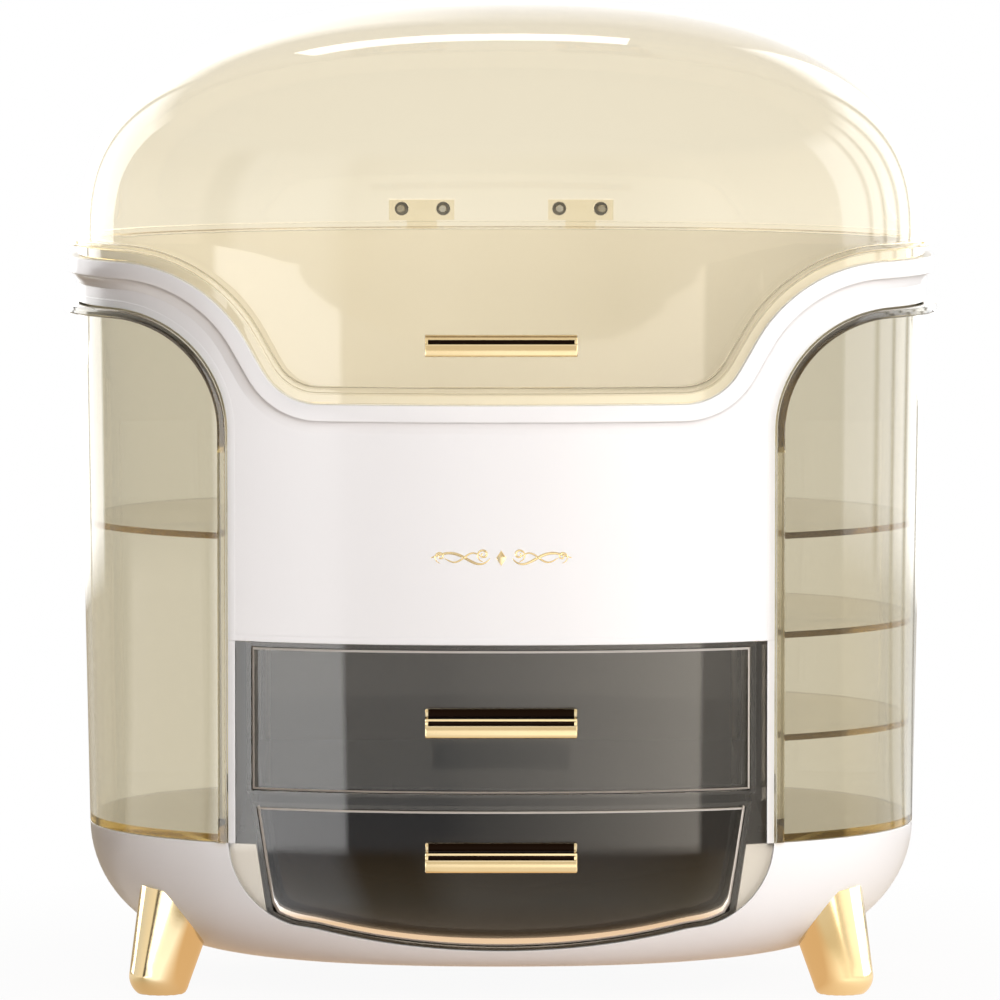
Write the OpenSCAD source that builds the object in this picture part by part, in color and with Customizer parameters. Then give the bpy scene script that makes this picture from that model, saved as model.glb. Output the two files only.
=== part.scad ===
// Dustproof makeup organizer: an oval case on four splayed feet, with a clear hinged dome lid,
// two swing-out side cabinets and two smoked drawers. Millimetres, +Z up, front towards -Y.
// The origin is on the floor under the middle of the case.

/* [Oval body] */
// Full width of the case at its rim
body_w = 351; // [330:1:370]
// Full depth of the case at its rim
body_d = 250; // [240:1:262]
// How much wider the case is at its rim than where it meets the base
flare_w = 9.4; // [4:0.2:14]
// How much deeper the case is at its rim than where it meets the base
flare_d = 7; // [3:0.5:10]
// Roundness of the oval plan, where 2 is an ellipse
oval_power = 2.25; // [2:0.05:2.6]

/* [Heights] */
// Underside of the base above the floor
base_bottom = 15.5; // [13:0.5:18]
// Top edge of the base
base_top = 66; // [62:1:70]
// Underside of the white case between the side cabinets
case_bottom = 149; // [146:1:153]
// Rim of the case at the sides and the back
rim_z = 301; // [296:1:306]
// Height of the dome above the lid's flange
dome_h = 97.5; // [85:0.5:110]

/* [Front dip of the rim] */
// How far the rim dips at the front
dip_drop = 55; // [48:1:58]
// Half length of the dip's level bottom
dip_half = 74; // [66:1:78]
// Radius at the foot of the slope
dip_foot_r = 26; // [22:1:30]
// Radius at the shoulder of the slope
dip_shoulder_r = 60; // [52:1:62]
// Steepness of the slope in degrees
dip_slope = 60; // [55:1:62]

/* [Walls] */
// Thickness of the white mouldings
wall = 3; // [2.5:0.1:3.4]
// Thickness of the clear dome and cabinets
clear_wall = 2.4; // [2:0.1:2.8]
// Thickness of the drawer housing
housing_wall = 1.6; // [1.2:0.1:2]
// Thickness of the drawer walls
drawer_wall = 2.2; // [1.8:0.1:2.8]
// Thickness of the drawer fronts
drawer_front = 3; // [2.4:0.1:3.6]

/* [Base bowl] */
// How far the base turns in at its ends
turn_w = 55; // [48:1:62]
// How far the base turns in at its front and back
turn_d = 24; // [18:1:30]
// Corner radius of the drawer opening
opening_r = 36; // [32:1:40]
// How far the middle of the opening's lower edge hangs below its corners
opening_sag = 8.4; // [6:0.2:10]
// Height of the opening's lower edge in the middle
opening_bottom = 23.2; // [22.6:0.1:25]

/* [Central block] */
// Half width of the white panel between the cabinets
panel_half = 111; // [106:1:116]
// Radius of the arch over each cabinet
arch_r = 48; // [42:1:52]
// Height of the white arm between the rim and each arch
arm_h = 19; // [15:1:23]

/* [Rim, lid flange and skirt] */
// How far the band under the rim stands out at the sides
band_out_w = 3.4; // [2:0.1:4]
// How far the band and the flange stand out at the front and back
band_out_d = 1.4; // [0.8:0.1:1.6]
// Width of the band
band_h = 7; // [5:0.5:9]
// How far the lid's flange stands out at the sides
flange_out_w = 4; // [3:0.1:5]
// Height of the clear skirt between band and flange
skirt_h = 4.7; // [4:0.1:6]
// Thickness of the lid's flange
flange_t = 2.6; // [2:0.1:3.2]
// Thickness of the skirt
skirt_t = 1.5; // [1.2:0.1:1.6]
// Inset of the lid's wall from the oval
lid_inset = 1.5; // [1.2:0.1:1.8]
// Squareness of the dome's outline, where 2 is an ellipse
dome_power = 2.5; // [2.1:0.1:2.8]

/* [Drawers] */
// Distance of the upper drawer's front from the side of the central block
upper_in = 10; // [8:0.5:13]
// Lower edge of the upper drawer
upper_bottom = 88.6; // [87:0.2:92]
// Height between the two drawers
divider_h = 7.2; // [5:0.2:9]
// Distance of the lower drawer's front from the side of the central block, at its top
lower_in = 12; // [10:0.5:15]
// The same distance at its foot
lower_foot_in = 18; // [16:0.5:22]
// Height at which the lower drawer has its foot width
lower_foot_z = 41; // [38:1:46]
// Where the drawer trays end at the back
drawer_back = 78; // [70:1:80]
// How far the tray sides stay below the fronts
side_drop = 8; // [5:1:15]

/* [Side cabinets] */
// How far the cabinet's flange stands out at the side
door_flange_w = 5.6; // [4:0.1:6]
// Width of the flange round the cabinet's front edge
door_flange_h = 3.4; // [3:0.1:4.5]
// Thickness of the cabinet's floor
door_floor = 3; // [2.4:0.1:4]
// Thickness of the shelves
shelf_t = 2.6; // [2:0.1:3.2]
// Height of the left cabinet's shelf
left_shelf_z = 190; // [170:1:205]
// Height of the right cabinet's upper shelf
right_shelf_hi = 190; // [175:1:205]
// Height of the right cabinet's middle shelf
right_shelf_mid = 149.5; // [140:0.5:160]
// Height of the right cabinet's lower shelf
right_shelf_lo = 107.5; // [98:0.5:118]
// Outer radius of the cabinet's hinge barrel
barrel_r = 4.5; // [4:0.1:5]
// Radius of the cabinet's pivot pins
door_pin_r = 1.75; // [1.5:0.05:2]

/* [Feet] */
// Distance of each foot from the end of the base
foot_in_w = 28.8; // [26:0.2:36]
// Distance of each foot from the front or back of the base
foot_in_d = 60.5; // [56:0.5:70]
// Radius of a foot at the floor
foot_r = 12.7; // [11:0.1:13.5]
// Radius of a foot at its top
foot_top_r = 16.4; // [15:0.1:17]
// Length of a foot along its axis
foot_len = 42; // [38:1:44]
// Sideways splay of a foot in degrees
splay = 13.5; // [9:0.5:15]
// Forward splay of a foot in degrees
splay_fore = 5; // [0:0.5:7]
// Rounding of a foot's lower edge
foot_round = 9; // [4:0.5:10]

/* [Handles] */
// Length of a handle
handle_w = 61.4; // [50:0.2:80]
// How far a handle stands out
handle_d = 9; // [7:0.1:9.6]
// Height of a handle's grip bar
grip_h = 5.2; // [4:0.1:6]
// Height of the drawer handles
drawer_handle_h = 11.4; // [9:0.1:13]
// Height of the lid handle
lid_handle_h = 8.6; // [8:0.1:10]
// Middle of the lid handle above the dip's bottom
lid_handle_up = 24.4; // [20:0.2:30]
// Middle of the lower drawer's handle below the drawer's top edge
lower_handle_down = 18.4; // [14:0.2:22]
// Half distance between a handle's screws
handle_screw_x = 22; // [16:1:24]

/* [Lid hinges] */
// Distance of each hinge from the middle
hinge_x = 34; // [28:1:40]
// Length of a hinge
hinge_w = 28; // [24:1:32]
// Length of the lid's knuckle
knuckle_w = 13; // [10:1:15]
// Hinge axis behind the back of the case
hinge_out = 6; // [5.5:0.1:7]
// Hinge axis below the rim
hinge_drop = 1; // [0:0.5:3]
// Outer radius of the knuckles
knuckle_r = 4; // [3.6:0.1:4.2]
// Radius of the hinge pins
lid_pin_r = 1.5; // [1.2:0.05:1.8]

/* [Clearances] */
// Gap between a moulding and what seats in it
seat_gap = 0.2; // [0.15:0.05:0.3]
// Running gap round the drawers
slide_gap = 0.4; // [0.3:0.05:0.5]
// Gap round the drawer housing
housing_gap = 0.35; // [0.2:0.05:0.5]
// Gap round the swinging cabinets
door_gap = 0.7; // [0.5:0.05:0.9]
// Radial clearance of pins in their bores
pin_fit = 0.05; // [0.03:0.01:0.08]

/* [Hidden] */

sides = 72;             // corners of each oval ring
arc_steps = 8;          // segments of each arc in the side outlines
bowl_steps = 7;         // rings of the bowl below its top edge
dome_steps = 10;        // rings of the dome above its foot
far = 300;              // past every face of the part
inside_y = 90;          // well inside the front and back walls
bite = 0.5;             // overlap that joins pieces of one moulding

white = "#F4F2EF";
clear_tint = "#E6D3B0";
smoke = "#57534F";
gold = "#D9B45F";
steel = "#B9BCC0";

base_w = body_w - flare_w;
base_d = body_d - flare_d;

// ---- the oval body -------------------------------------------------------------------------

function oval(a, b) = [
    for (i = [0 : sides - 1])
        let (c = cos(360 * i / sides), s = sin(360 * i / sides))
        [a * sign(c) * pow(abs(c), 2 / oval_power), b * sign(s) * pow(abs(s), 2 / oval_power)]
];

// How deep into the bowl's turned-in part a height lies, from 0 at the top to 1 at the bottom
function bowl_depth(z, inset) = min(1, max(0, (base_top - z) / (base_top - base_bottom - inset)));

function turned_in(z, turn, inset) = (turn - inset) * (1 - sqrt(1 - pow(bowl_depth(z, inset), 2)));

// Half width and half depth of the body at a height: it flares above base_top and turns in below
function half_size(z, at_base, at_rim, turn, inset) =
    (at_base + (at_rim - at_base) * max(0, z - base_top) / (rim_z - base_top)) / 2
    - turned_in(z, turn, max(0, inset));

function half_w(z, inset = 0) = half_size(z, base_w, body_w, turn_w, inset) - inset;
function half_d(z, inset = 0) = half_size(z, base_d, body_d, turn_d, inset) - inset;

// Depth of the body's front face at a given sideways place
function oval_y(x, a, b) = b * pow(1 - pow(min(1, abs(x) / a), oval_power), 1 / oval_power);
function face_y(x, z, inset = 0) = oval_y(x, half_w(z, inset), half_d(z, inset));

// Closed solid through a stack of oval rings, each given as [z, half width, half depth]
module loft(rings) {
    last = len(rings) - 1;
    polyhedron(
        points = [for (r = rings) for (p = oval(r[1], r[2])) [p[0], p[1], r[0]]],
        faces = concat(
            [[for (i = [0 : sides - 1]) i]],
            [for (k = [0 : last - 1]) for (i = [0 : sides - 1])
                let (j = (i + 1) % sides, low = k * sides, high = low + sides)
                each [[low + i, high + i, high + j], [low + i, high + j, low + j]]],
            [[for (i = [sides - 1 : -1 : 0]) last * sides + i]]
        )
    );
}

// Heights of the rings between two levels: the bowl needs several, the flared part none
function ring_levels(z0, z1, inset) = concat(
    [z0],
    [for (i = [bowl_steps : -1 : 0])
        let (z = base_top - (base_top - base_bottom - max(0, inset)) * sin(90 * i / bowl_steps))
        if (z > z0 + bite && z < z1 - bite) z],
    [z1]
);

// Solid inside the body's outline between two heights, set in by a distance
module body_solid(z0, z1, inset = 0) {
    loft([for (z = ring_levels(z0, z1, inset)) [z, half_w(z, inset), half_d(z, inset)]]);
}

// Ring between two outlines above the base, which may stand out by different amounts
module body_ring(z0, z1, out_w, out_d, inset) {
    difference() {
        loft([for (z = [z0, z1]) [z, half_w(z) + out_w, half_d(z) + out_d]]);
        body_solid(z0 - 1, z1 + 1, inset);
    }
}

// ---- outlines seen from the front, drawn in X and Z and run along Y ------------------------------

module along_y(y0, y1) {
    translate([0, y1, 0])
        rotate([90, 0, 0])
            linear_extrude(y1 - y0)
                children();
}

function arc(cx, cz, r, from, to) = [
    for (i = [0 : arc_steps])
        let (a = from + (to - from) * i / arc_steps)
        [cx + r * cos(a), cz + r * sin(a)]
];

function mirrored(points) = [for (i = [len(points) - 1 : -1 : 0]) [-points[i][0], points[i][1]]];

upper_half = panel_half - upper_in;
lower_half = panel_half - lower_in;
lower_foot_half = panel_half - lower_foot_in;
rim_low = rim_z - dip_drop;
dip_run = (dip_foot_r + dip_shoulder_r) * sin(dip_slope)
    + (dip_drop - (dip_foot_r + dip_shoulder_r) * (1 - cos(dip_slope))) / tan(dip_slope);
shoulder_x = dip_half + dip_run;

// Right half of the dip in the rim, moved up by d square to itself
function dip_half_line(d) = concat(
    arc(dip_half, rim_low + dip_foot_r, dip_foot_r - d, -90, -90 + dip_slope),
    arc(shoulder_x, rim_z - dip_shoulder_r, dip_shoulder_r + d, 90 + dip_slope, 90)
);

// Everything below the rim line moved up by d: it dips at the front and is level at the back
module under_rim(d) {
    line = dip_half_line(d);
    union() {
        along_y(-far, 0)
            polygon(concat(
                [[-far, 0], [-far, rim_z + d]], mirrored(line), line, [[far, rim_z + d], [far, 0]]
            ));
        translate([-far, 0, 0])
            cube([2 * far, far, rim_z + d]);
    }
}

// Band that follows the rim between two offsets of its line
module rim_strip(d0, d1, out_w, out_d, inset) {
    difference() {
        intersection() {
            body_ring(rim_low - 2 * band_h, rim_z + skirt_h + 2 * flange_t, out_w, out_d, inset);
            under_rim(d1);
        }
        under_rim(d0);
    }
}

opening_corner_z = opening_bottom + opening_sag + opening_r;
opening_corner_x = panel_half - opening_r;
belly_r = (pow(opening_corner_x, 2) + pow(opening_sag, 2)) / (2 * opening_sag);
belly_half = asin(opening_corner_x / belly_r);

// Half outline of the drawer opening in the base, set in by d: side, corner, then the belly
function opening_half_line(d) = concat(
    [for (i = [0 : arc_steps])
        let (a = -belly_half * i / arc_steps)
        [-(belly_r - d) * sin(a), opening_bottom + belly_r - (belly_r - d) * cos(a)]],
    arc(opening_corner_x, opening_corner_z, opening_r - d, -90 + belly_half, 0)
);

module opening_prism(d, y0, y1) {
    line = opening_half_line(d);
    along_y(y0, y1)
        polygon(concat(
            mirrored(line), line, [[panel_half - d, case_bottom], [-panel_half + d, case_bottom]]
        ));
}

// Outline of the upper drawer, grown by g
module upper_prism(g, y0, y1) {
    translate([-upper_half - g, y0, upper_bottom - g])
        cube([2 * (upper_half + g), y1 - y0, upper_top - upper_bottom + 2 * g]);
}

// The upper drawer's top edge, below the housing's top plate
upper_top = case_bottom - housing_wall - 2 * slide_gap;
lower_top = upper_bottom - divider_h;
lower_inset = housing_gap + housing_wall + slide_gap;
lower_taper = (lower_half - lower_foot_half) / (lower_top - lower_foot_z);

// Outline of the lower drawer, grown by g: tapered sides over the opening's own curve
module lower_prism(g, y0, y1) {
    top_half = lower_half + g;
    floor_half = top_half - lower_taper * (lower_top - base_bottom);
    intersection() {
        opening_prism(lower_inset - g, y0, y1);
        along_y(y0, y1)
            polygon([
                [-floor_half, base_bottom], [-top_half, lower_top + g],
                [top_half, lower_top + g], [floor_half, base_bottom]
            ]);
    }
}

arch_top = rim_z - arm_h;
arch_x = panel_half + arch_r;
arch_z = arch_top - arch_r;

// Everything under the right-hand arch and outside the panel, set in by d
module arch_prism(d) {
    along_y(-far, far)
        polygon(concat(
            [[far, 0], [panel_half + d, 0]],
            arc(arch_x, arch_z, arch_r - d, 180, 90),
            [[far, arch_top - d]]
        ));
}

module both_sides() {
    children();
    mirror([1, 0, 0])
        children();
}

module block(x0, x1, y0, y1, z0, z1) {
    translate([x0, y0, z0])
        cube([x1 - x0, y1 - y0, z1 - z0]);
}

// Cylinder along +X, +Y or +Z from a point
module rod_x(x0, x1, y, z, r) {
    translate([x0, y, z])
        rotate([0, 90, 0])
            cylinder(h = x1 - x0, r = r, $fn = 48);
}

module rod_y(x, y0, y1, z, r) {
    translate([x, y1, z])
        rotate([90, 0, 0])
            cylinder(h = y1 - y0, r = r, $fn = 48);
}

module rod_z(x, y, z0, z1, r) {
    translate([x, y, z0])
        cylinder(h = z1 - z0, r = r, $fn = 48);
}

// ---- base ----------------------------------------------------------------------------------

cover_t = 2.5;                          // thickness of the plinth covers
ledge_z = base_top - cover_t;           // what the covers rest on
ledge_t = 2;
rib_t = 3;                              // ribs that hold the case's side walls
case_foot_z = base_top - 26;            // where the case's side walls stand in the base
case_foot_y0 = -80;                     // front and back ends of those side walls
case_foot_y1 = 85;
rib_y0 = case_foot_y0 - 6;
rib_y1 = case_foot_y1 + 6;
rib_x1 = panel_half + seat_gap + rib_t;
screw_r = 1.45;                         // shank of the small screws
screw_head_r = 3;
screw_head_h = 1.8;
screw_hole_r = screw_r + 0.15;          // in a piece that the screw passes through
screw_bore_r = screw_r + pin_fit;       // in the piece that it bites into
case_screw_y = 50;
case_screw_z = base_top - 10;
rail_x = 38;                            // rails under the drawer housing
foot_x = base_w / 2 - foot_in_w;
foot_y = base_d / 2 - foot_in_d;
foot_screw_r = 1.9;
foot_screw_head_r = 4;
foot_screw_head_h = 2.6;
foot_screw_bite = 12;                   // how far the screw reaches into the foot
panel_screw_len = 14;
hinge_screw_len = 10;
handle_screw_bite = 5;                  // how far these screws reach into a handle
foot_hole_r = foot_screw_r + 0.3;
foot_bore_r = foot_screw_r + pin_fit;
foot_roof = 4;                          // plastic between a foot and its screw's head
door_x = panel_half + 1 + barrel_r;     // the cabinet's pivot axis, at the back of the case
door_y = face_y(door_x, base_top) + 0.3; // just behind the cabinet's own rear face
ear_r = 5.5;
ear_h = 14;
backing_t = 1.6;                        // corners behind the drawer frame

// Puts its children on a foot's axis, for the side sx and the end sy
module at_foot(sx, sy) {
    mirror([sx < 0 ? 1 : 0, 0, 0])
        mirror([0, sy > 0 ? 1 : 0, 0])
            translate([foot_x, -foot_y, 0])
                rotate([-splay_fore, 0, 0])
                    rotate([0, -splay, 0])
                        children();
}

module at_each_foot() {
    for (sx = [-1, 1], sy = [-1, 1])
        at_foot(sx, sy)
            children();
}

// Corners of the base that close the space behind the drawer frame, beside the lower drawer's box
module frame_backing() {
    front = housing_inset + frame_t + housing_gap;
    intersection() {
        difference() {
            union() {
                opening_prism(0, -far, -foot_y);
                intersection() {
                    opening_prism(-wall, -far, -foot_y);
                    block(-far, far, -far, far, base_bottom, ledge_z);
                }
            }
            difference() {
                opening_prism(0, -far, 0);
                body_solid(base_bottom - 1, base_top + 1, front);
            }
            body_solid(base_bottom - 1, base_top + 1, front + backing_t);
            lower_prism(slide_gap + housing_wall + housing_gap, -far, 0);
        }
        body_solid(base_bottom, base_top, wall - bite);
        block(-far, far, -far, 0, opening_bottom + opening_sag, base_top - seat_gap);
    }
}

module base_shell() {
    color(white) {
        frame_backing();
        difference() {
            union() {
                difference() {
                    body_solid(base_bottom, base_top);
                    body_solid(base_bottom + wall, ledge_z - ledge_t, wall);
                    body_solid(ledge_z - ledge_t - 0.2, ledge_z + 0.1, wall + ledge_t);
                    body_solid(ledge_z, base_top + 1, wall);
                    opening_prism(0, -far, -foot_y);
                    intersection() {
                        body_solid(ledge_z - ledge_t - 1, base_top + 1, wall);
                        block(-panel_half, panel_half, -far, far, ledge_z - ledge_t - 1, base_top + 1);
                    }
                }
                intersection() {
                    body_solid(base_bottom, ledge_z);
                    union() {
                        at_each_foot()
                            cylinder(h = foot_len + foot_roof, r = foot_top_r + wall, $fn = 64);
                        both_sides() {
                            block(panel_half - wall, rib_x1, rib_y0, rib_y1, base_bottom, case_foot_z);
                            block(panel_half + seat_gap, rib_x1, rib_y0, rib_y1, base_bottom, ledge_z);
                            block(rail_x, rail_x + rib_t, 12 - foot_y, drawer_back - 4,
                                base_bottom, opening_bottom + 4);
                        }
                    }
                }
                both_sides()
                    rod_z(door_x, door_y, base_top - ear_h, base_top, ear_r);
            }
            opening_prism(0, -far, -foot_y);
            opening_prism(housing_gap - 0.1, -foot_y - 1, housing_back + housing_gap);
            at_each_foot() {
                foot_solid(seat_gap);
                cylinder(h = foot_len + 2 * foot_roof, r = foot_hole_r, $fn = 48);
            }
            both_sides() {
                rod_z(door_x, door_y, base_top - 10, base_top + 1, door_pin_r + pin_fit);
                for (y = [-case_screw_y, case_screw_y])
                    rod_x(panel_half, rib_x1 + 1, y, case_screw_z, screw_hole_r);
            }
        }
    }
}

module plinth_cover() {
    color(white)
        difference() {
            intersection() {
                body_solid(ledge_z, base_top, wall + seat_gap);
                block(panel_half + 0.2, far, -far, far, ledge_z, base_top);
            }
            rod_z(door_x, door_y, ledge_z - 1, base_top + 1, ear_r + seat_gap);
        }
}

module right_plinth_cover() {
    plinth_cover();
}

module left_plinth_cover() {
    mirror([1, 0, 0])
        plinth_cover();
}

// ---- feet ----------------------------------------------------------------------------------

// Foot on its own axis, grown by g: a rounded end, then a cone that widens upwards
module foot_solid(g = 0) {
    low = -2.4;
    slope = (foot_top_r - foot_r) / foot_len;
    rotate_extrude($fn = 64)
        polygon(concat(
            [[0, low - g]],
            [for (i = [0 : arc_steps])
                let (a = -90 + 90 * i / arc_steps)
                [foot_r + slope * low - foot_round + (foot_round + g) * cos(a),
                    low + foot_round + (foot_round + g) * sin(a)]],
            [[foot_top_r + g, foot_len + g / 2], [0, foot_len + g / 2]]
        ));
}

module foot(sx, sy) {
    color(gold)
        difference() {
            at_foot(sx, sy)
                difference() {
                    foot_solid();
                    translate([0, 0, foot_len - foot_screw_bite - 2])
                        cylinder(h = foot_screw_bite + 3, r = foot_bore_r, $fn = 48);
                }
            block(-far, far, -far, far, -far, 0);
        }
}

module foot_front_left() {
    foot(-1, -1);
}

module foot_front_right() {
    foot(1, -1);
}

module foot_rear_left() {
    foot(-1, 1);
}

module foot_rear_right() {
    foot(1, 1);
}

module foot_screws() {
    color(steel)
        at_each_foot() {
            translate([0, 0, foot_len - foot_screw_bite])
                cylinder(h = foot_screw_bite + foot_roof + bite, r = foot_screw_r, $fn = 48);
            translate([0, 0, foot_len + foot_roof])
                cylinder(h = foot_screw_head_h, r = foot_screw_head_r, $fn = 48);
        }
}

// ---- drawer housing ---------------------------------------------------------------------------

housing_inset = 0.4;
housing_back = drawer_back + 2.5;
frame_t = 3;

module drawer_housing() {
    sleeve = housing_wall + slide_gap;
    color(smoke)
        difference() {
            union() {
                // front frame, which fills the opening round the drawer fronts
                difference() {
                    intersection() {
                        body_solid(base_bottom, case_bottom - seat_gap, housing_inset);
                        union() {
                            intersection() {
                                opening_prism(housing_gap, -far, 0);
                                block(-far, far, -far, 0, base_bottom, base_top);
                            }
                            block(-panel_half + wall + housing_gap, panel_half - wall - housing_gap, -far, 0,
                                base_top - bite, case_bottom - seat_gap);
                        }
                    }
                    body_solid(base_bottom - 1, case_bottom + 1, housing_inset + frame_t);
                }
                // sleeve that the drawers run in
                intersection() {
                    body_solid(base_bottom, case_bottom - seat_gap, housing_inset);
                    union() {
                        upper_prism(sleeve, -far, housing_back);
                        lower_prism(sleeve, -far, housing_back);
                        block(-lower_half, lower_half, housing_back - frame_t, housing_back,
                            lower_top - bite, upper_bottom + bite);
                    }
                }
            }
            upper_prism(slide_gap, -far, drawer_back + slide_gap);
            lower_prism(slide_gap, -far, drawer_back + slide_gap);
        }
}

// ---- white upper case ---------------------------------------------------------------------------

tub_floor = 2.6;
panel_screw_x = panel_half - 10;
panel_boss_x = panel_screw_x - 5;       // inner side of the bosses behind the back panel
panel_boss_y = housing_back + 4;
panel_screw_z = [base_top + 12, case_bottom - 13];
bracket_z0 = rim_z - 17;                // foot of the hinge bracket on the case
leaf_z0 = rim_z + skirt_h + flange_t + 0.6;
leaf_h = 9;
bracket_screw_z = bracket_z0 + 5;
leaf_screw_z = leaf_z0 + 5;
hinge_y = body_d / 2 + hinge_out;
hinge_z = rim_z - hinge_drop;
hinge_screw_dx = 9;

module upper_case() {
    color(white)
        difference() {
            union() {
                difference() {
                    union() {
                        // front panel, arms, side walls and back wall
                        difference() {
                            intersection() {
                                body_solid(case_bottom, rim_z);
                                under_rim(0);
                            }
                            both_sides()
                                arch_prism(0);
                        }
                        // side walls beside the drawers, flush with the oval
                        intersection() {
                            body_solid(base_top, case_bottom + 1);
                            both_sides()
                                block(panel_half - wall, panel_half, -far, far,
                                    base_top, case_bottom + 1);
                        }
                        rim_strip(-band_h, 0, band_out_w, band_out_d, wall - bite);
                    }
                    // hollow: the tub, with a wing over each arch
                    intersection() {
                        body_solid(case_bottom + tub_floor, rim_z + 1, wall);
                        difference() {
                            block(-far, far, -far, far, case_bottom + tub_floor, rim_z + 1);
                            both_sides()
                                arch_prism(-wall);
                        }
                    }
                }
                // upstand inside the lid's skirt
                rim_strip(-band_h, skirt_h - 0.5, -(lid_inset + skirt_t - 0.6),
                    -(lid_inset + skirt_t - 0.6), wall + 1.6);
                both_sides() {
                    block(panel_half - wall, panel_half, case_foot_y0, case_foot_y1,
                        case_foot_z, base_top + bite);
                    difference() {
                        rod_z(door_x, door_y, door_barrel_top + 0.4, door_barrel_top + 16, ear_r);
                        block(-far, panel_half - wall, -far, far, 0, far);
                    }
                    intersection() {
                        body_solid(base_top, case_bottom, wall + seat_gap);
                        for (z = panel_screw_z)
                            block(panel_boss_x, panel_half - wall + bite, panel_boss_y, far,
                                z - 5, z + 5);
                    }
                }
            }
            both_sides() {
                rod_z(door_x, door_y, door_barrel_top, door_barrel_top + 11, door_pin_r + pin_fit);
                for (y = [-case_screw_y, case_screw_y])
                    rod_x(panel_half - wall - 1, panel_half + 1, y, case_screw_z, screw_bore_r);
                for (z = panel_screw_z)
                    rod_y(panel_screw_x, panel_boss_y - 1, far, z, screw_bore_r);
                for (dx = [-hinge_screw_dx, hinge_screw_dx])
                    rod_y(hinge_x + dx, inside_y, far, bracket_screw_z, screw_bore_r);
            }
        }
}

module case_screws() {
    color(steel)
        both_sides()
            for (y = [-case_screw_y, case_screw_y]) {
                rod_x(panel_half - wall + 0.3, rib_x1 + bite, y, case_screw_z, screw_r);
                rod_x(rib_x1, rib_x1 + screw_head_h, y, case_screw_z, screw_head_r);
            }
}

module back_panel() {
    inner = panel_half - wall - seat_gap;
    color(white)
        difference() {
            intersection() {
                body_solid(base_top + seat_gap, case_bottom - seat_gap, 0);
                block(-inner, inner, panel_boss_y, far, base_top, case_bottom);
            }
            body_solid(base_top - 1, case_bottom + 1, wall);
            both_sides()
                for (z = panel_screw_z)
                    rod_y(panel_screw_x, panel_boss_y, far, z, screw_hole_r);
        }
}

// Screw along +Y whose head seats at y_head and whose shank runs forward from it
module screw_y(x, y_head, z, length) {
    rod_y(x, y_head - length, y_head + 0.2, z, screw_r);
    rod_y(x, y_head, y_head + screw_head_h, z, screw_head_r);
}

module back_panel_screws() {
    color(steel)
        both_sides()
            for (z = panel_screw_z)
                screw_y(panel_screw_x, face_y(panel_screw_x - screw_head_r, z) + 0.1, z,
                    panel_screw_len);
}

// ---- lid hinges --------------------------------------------------------------------------------

module hinge_base() {
    half = hinge_w / 2;
    gap_half = knuckle_w / 2 + 0.3;
    color(gold)
        difference() {
            union() {
                block(hinge_x - half, hinge_x + half, inside_y, hinge_y, bracket_z0, hinge_z);
                rod_x(hinge_x - half, hinge_x + half, hinge_y, hinge_z, knuckle_r);
            }
            body_solid(base_top, rim_z + 1, -0.05);
            rim_strip(-band_h - 0.1, 0.1, band_out_w + 0.1, band_out_d + 0.1, wall);
            block(hinge_x - half - 1, hinge_x + half + 1, inside_y, hinge_y - knuckle_r,
                rim_z - band_h - 0.1, far + rim_z);
            block(hinge_x - gap_half, hinge_x + gap_half, inside_y, far,
                hinge_z - knuckle_r - 0.4, far + rim_z);
            rod_x(hinge_x - half - 1, hinge_x + half + 1, hinge_y, hinge_z, lid_pin_r + pin_fit);
            for (dx = [-hinge_screw_dx, hinge_screw_dx])
                rod_y(hinge_x + dx, inside_y, far, bracket_screw_z, screw_hole_r);
        }
}

module lid_hinge_base_right() {
    hinge_base();
}

module lid_hinge_base_left() {
    mirror([1, 0, 0])
        hinge_base();
}

module lid_hinge_pins() {
    color(steel)
        both_sides()
            rod_x(hinge_x - hinge_w / 2 - 0.5, hinge_x + hinge_w / 2 + 0.5, hinge_y, hinge_z, lid_pin_r);
}

module hinge_base_screws() {
    color(steel)
        both_sides()
            for (dx = [-hinge_screw_dx, hinge_screw_dx])
                screw_y(hinge_x + dx, hinge_y, bracket_screw_z, hinge_screw_len);
}

// ---- dome lid ----------------------------------------------------------------------------------

dome_z = rim_z + skirt_h + flange_t;    // foot of the dome, on top of the flange

// Rings of the dome set in by a distance, from below the dip to the crown
function dome_rings(inset) = concat(
    [for (z = [rim_low - 5, dome_z]) [z, half_w(z, inset), half_d(z, inset)]],
    [for (i = [1 : dome_steps])
        let (a = 87 * i / dome_steps, r = pow(cos(a), 2 / dome_power))
        [dome_z + (dome_h - inset + lid_inset) * pow(sin(a), 2 / dome_power),
            r * half_w(dome_z, inset), r * half_d(dome_z, inset)]]
);

module dome_lid() {
    color(clear_tint)
        difference() {
            union() {
                difference() {
                    loft(dome_rings(lid_inset));
                    loft(dome_rings(lid_inset + clear_wall));
                    under_rim(skirt_h);
                }
                rim_strip(skirt_h, skirt_h + flange_t, flange_out_w, band_out_d,
                    lid_inset + clear_wall - bite);
                rim_strip(0.4, skirt_h + bite, -0.3, -0.3, 0.3 + skirt_t);
            }
            for (x = [-handle_screw_x, handle_screw_x])
                rod_y(x, -far, -inside_y, lid_handle_z, screw_hole_r);
            both_sides()
                for (dx = [-hinge_screw_dx, hinge_screw_dx])
                    rod_y(hinge_x + dx, inside_y, far, leaf_screw_z, screw_bore_r);
        }
}

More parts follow.
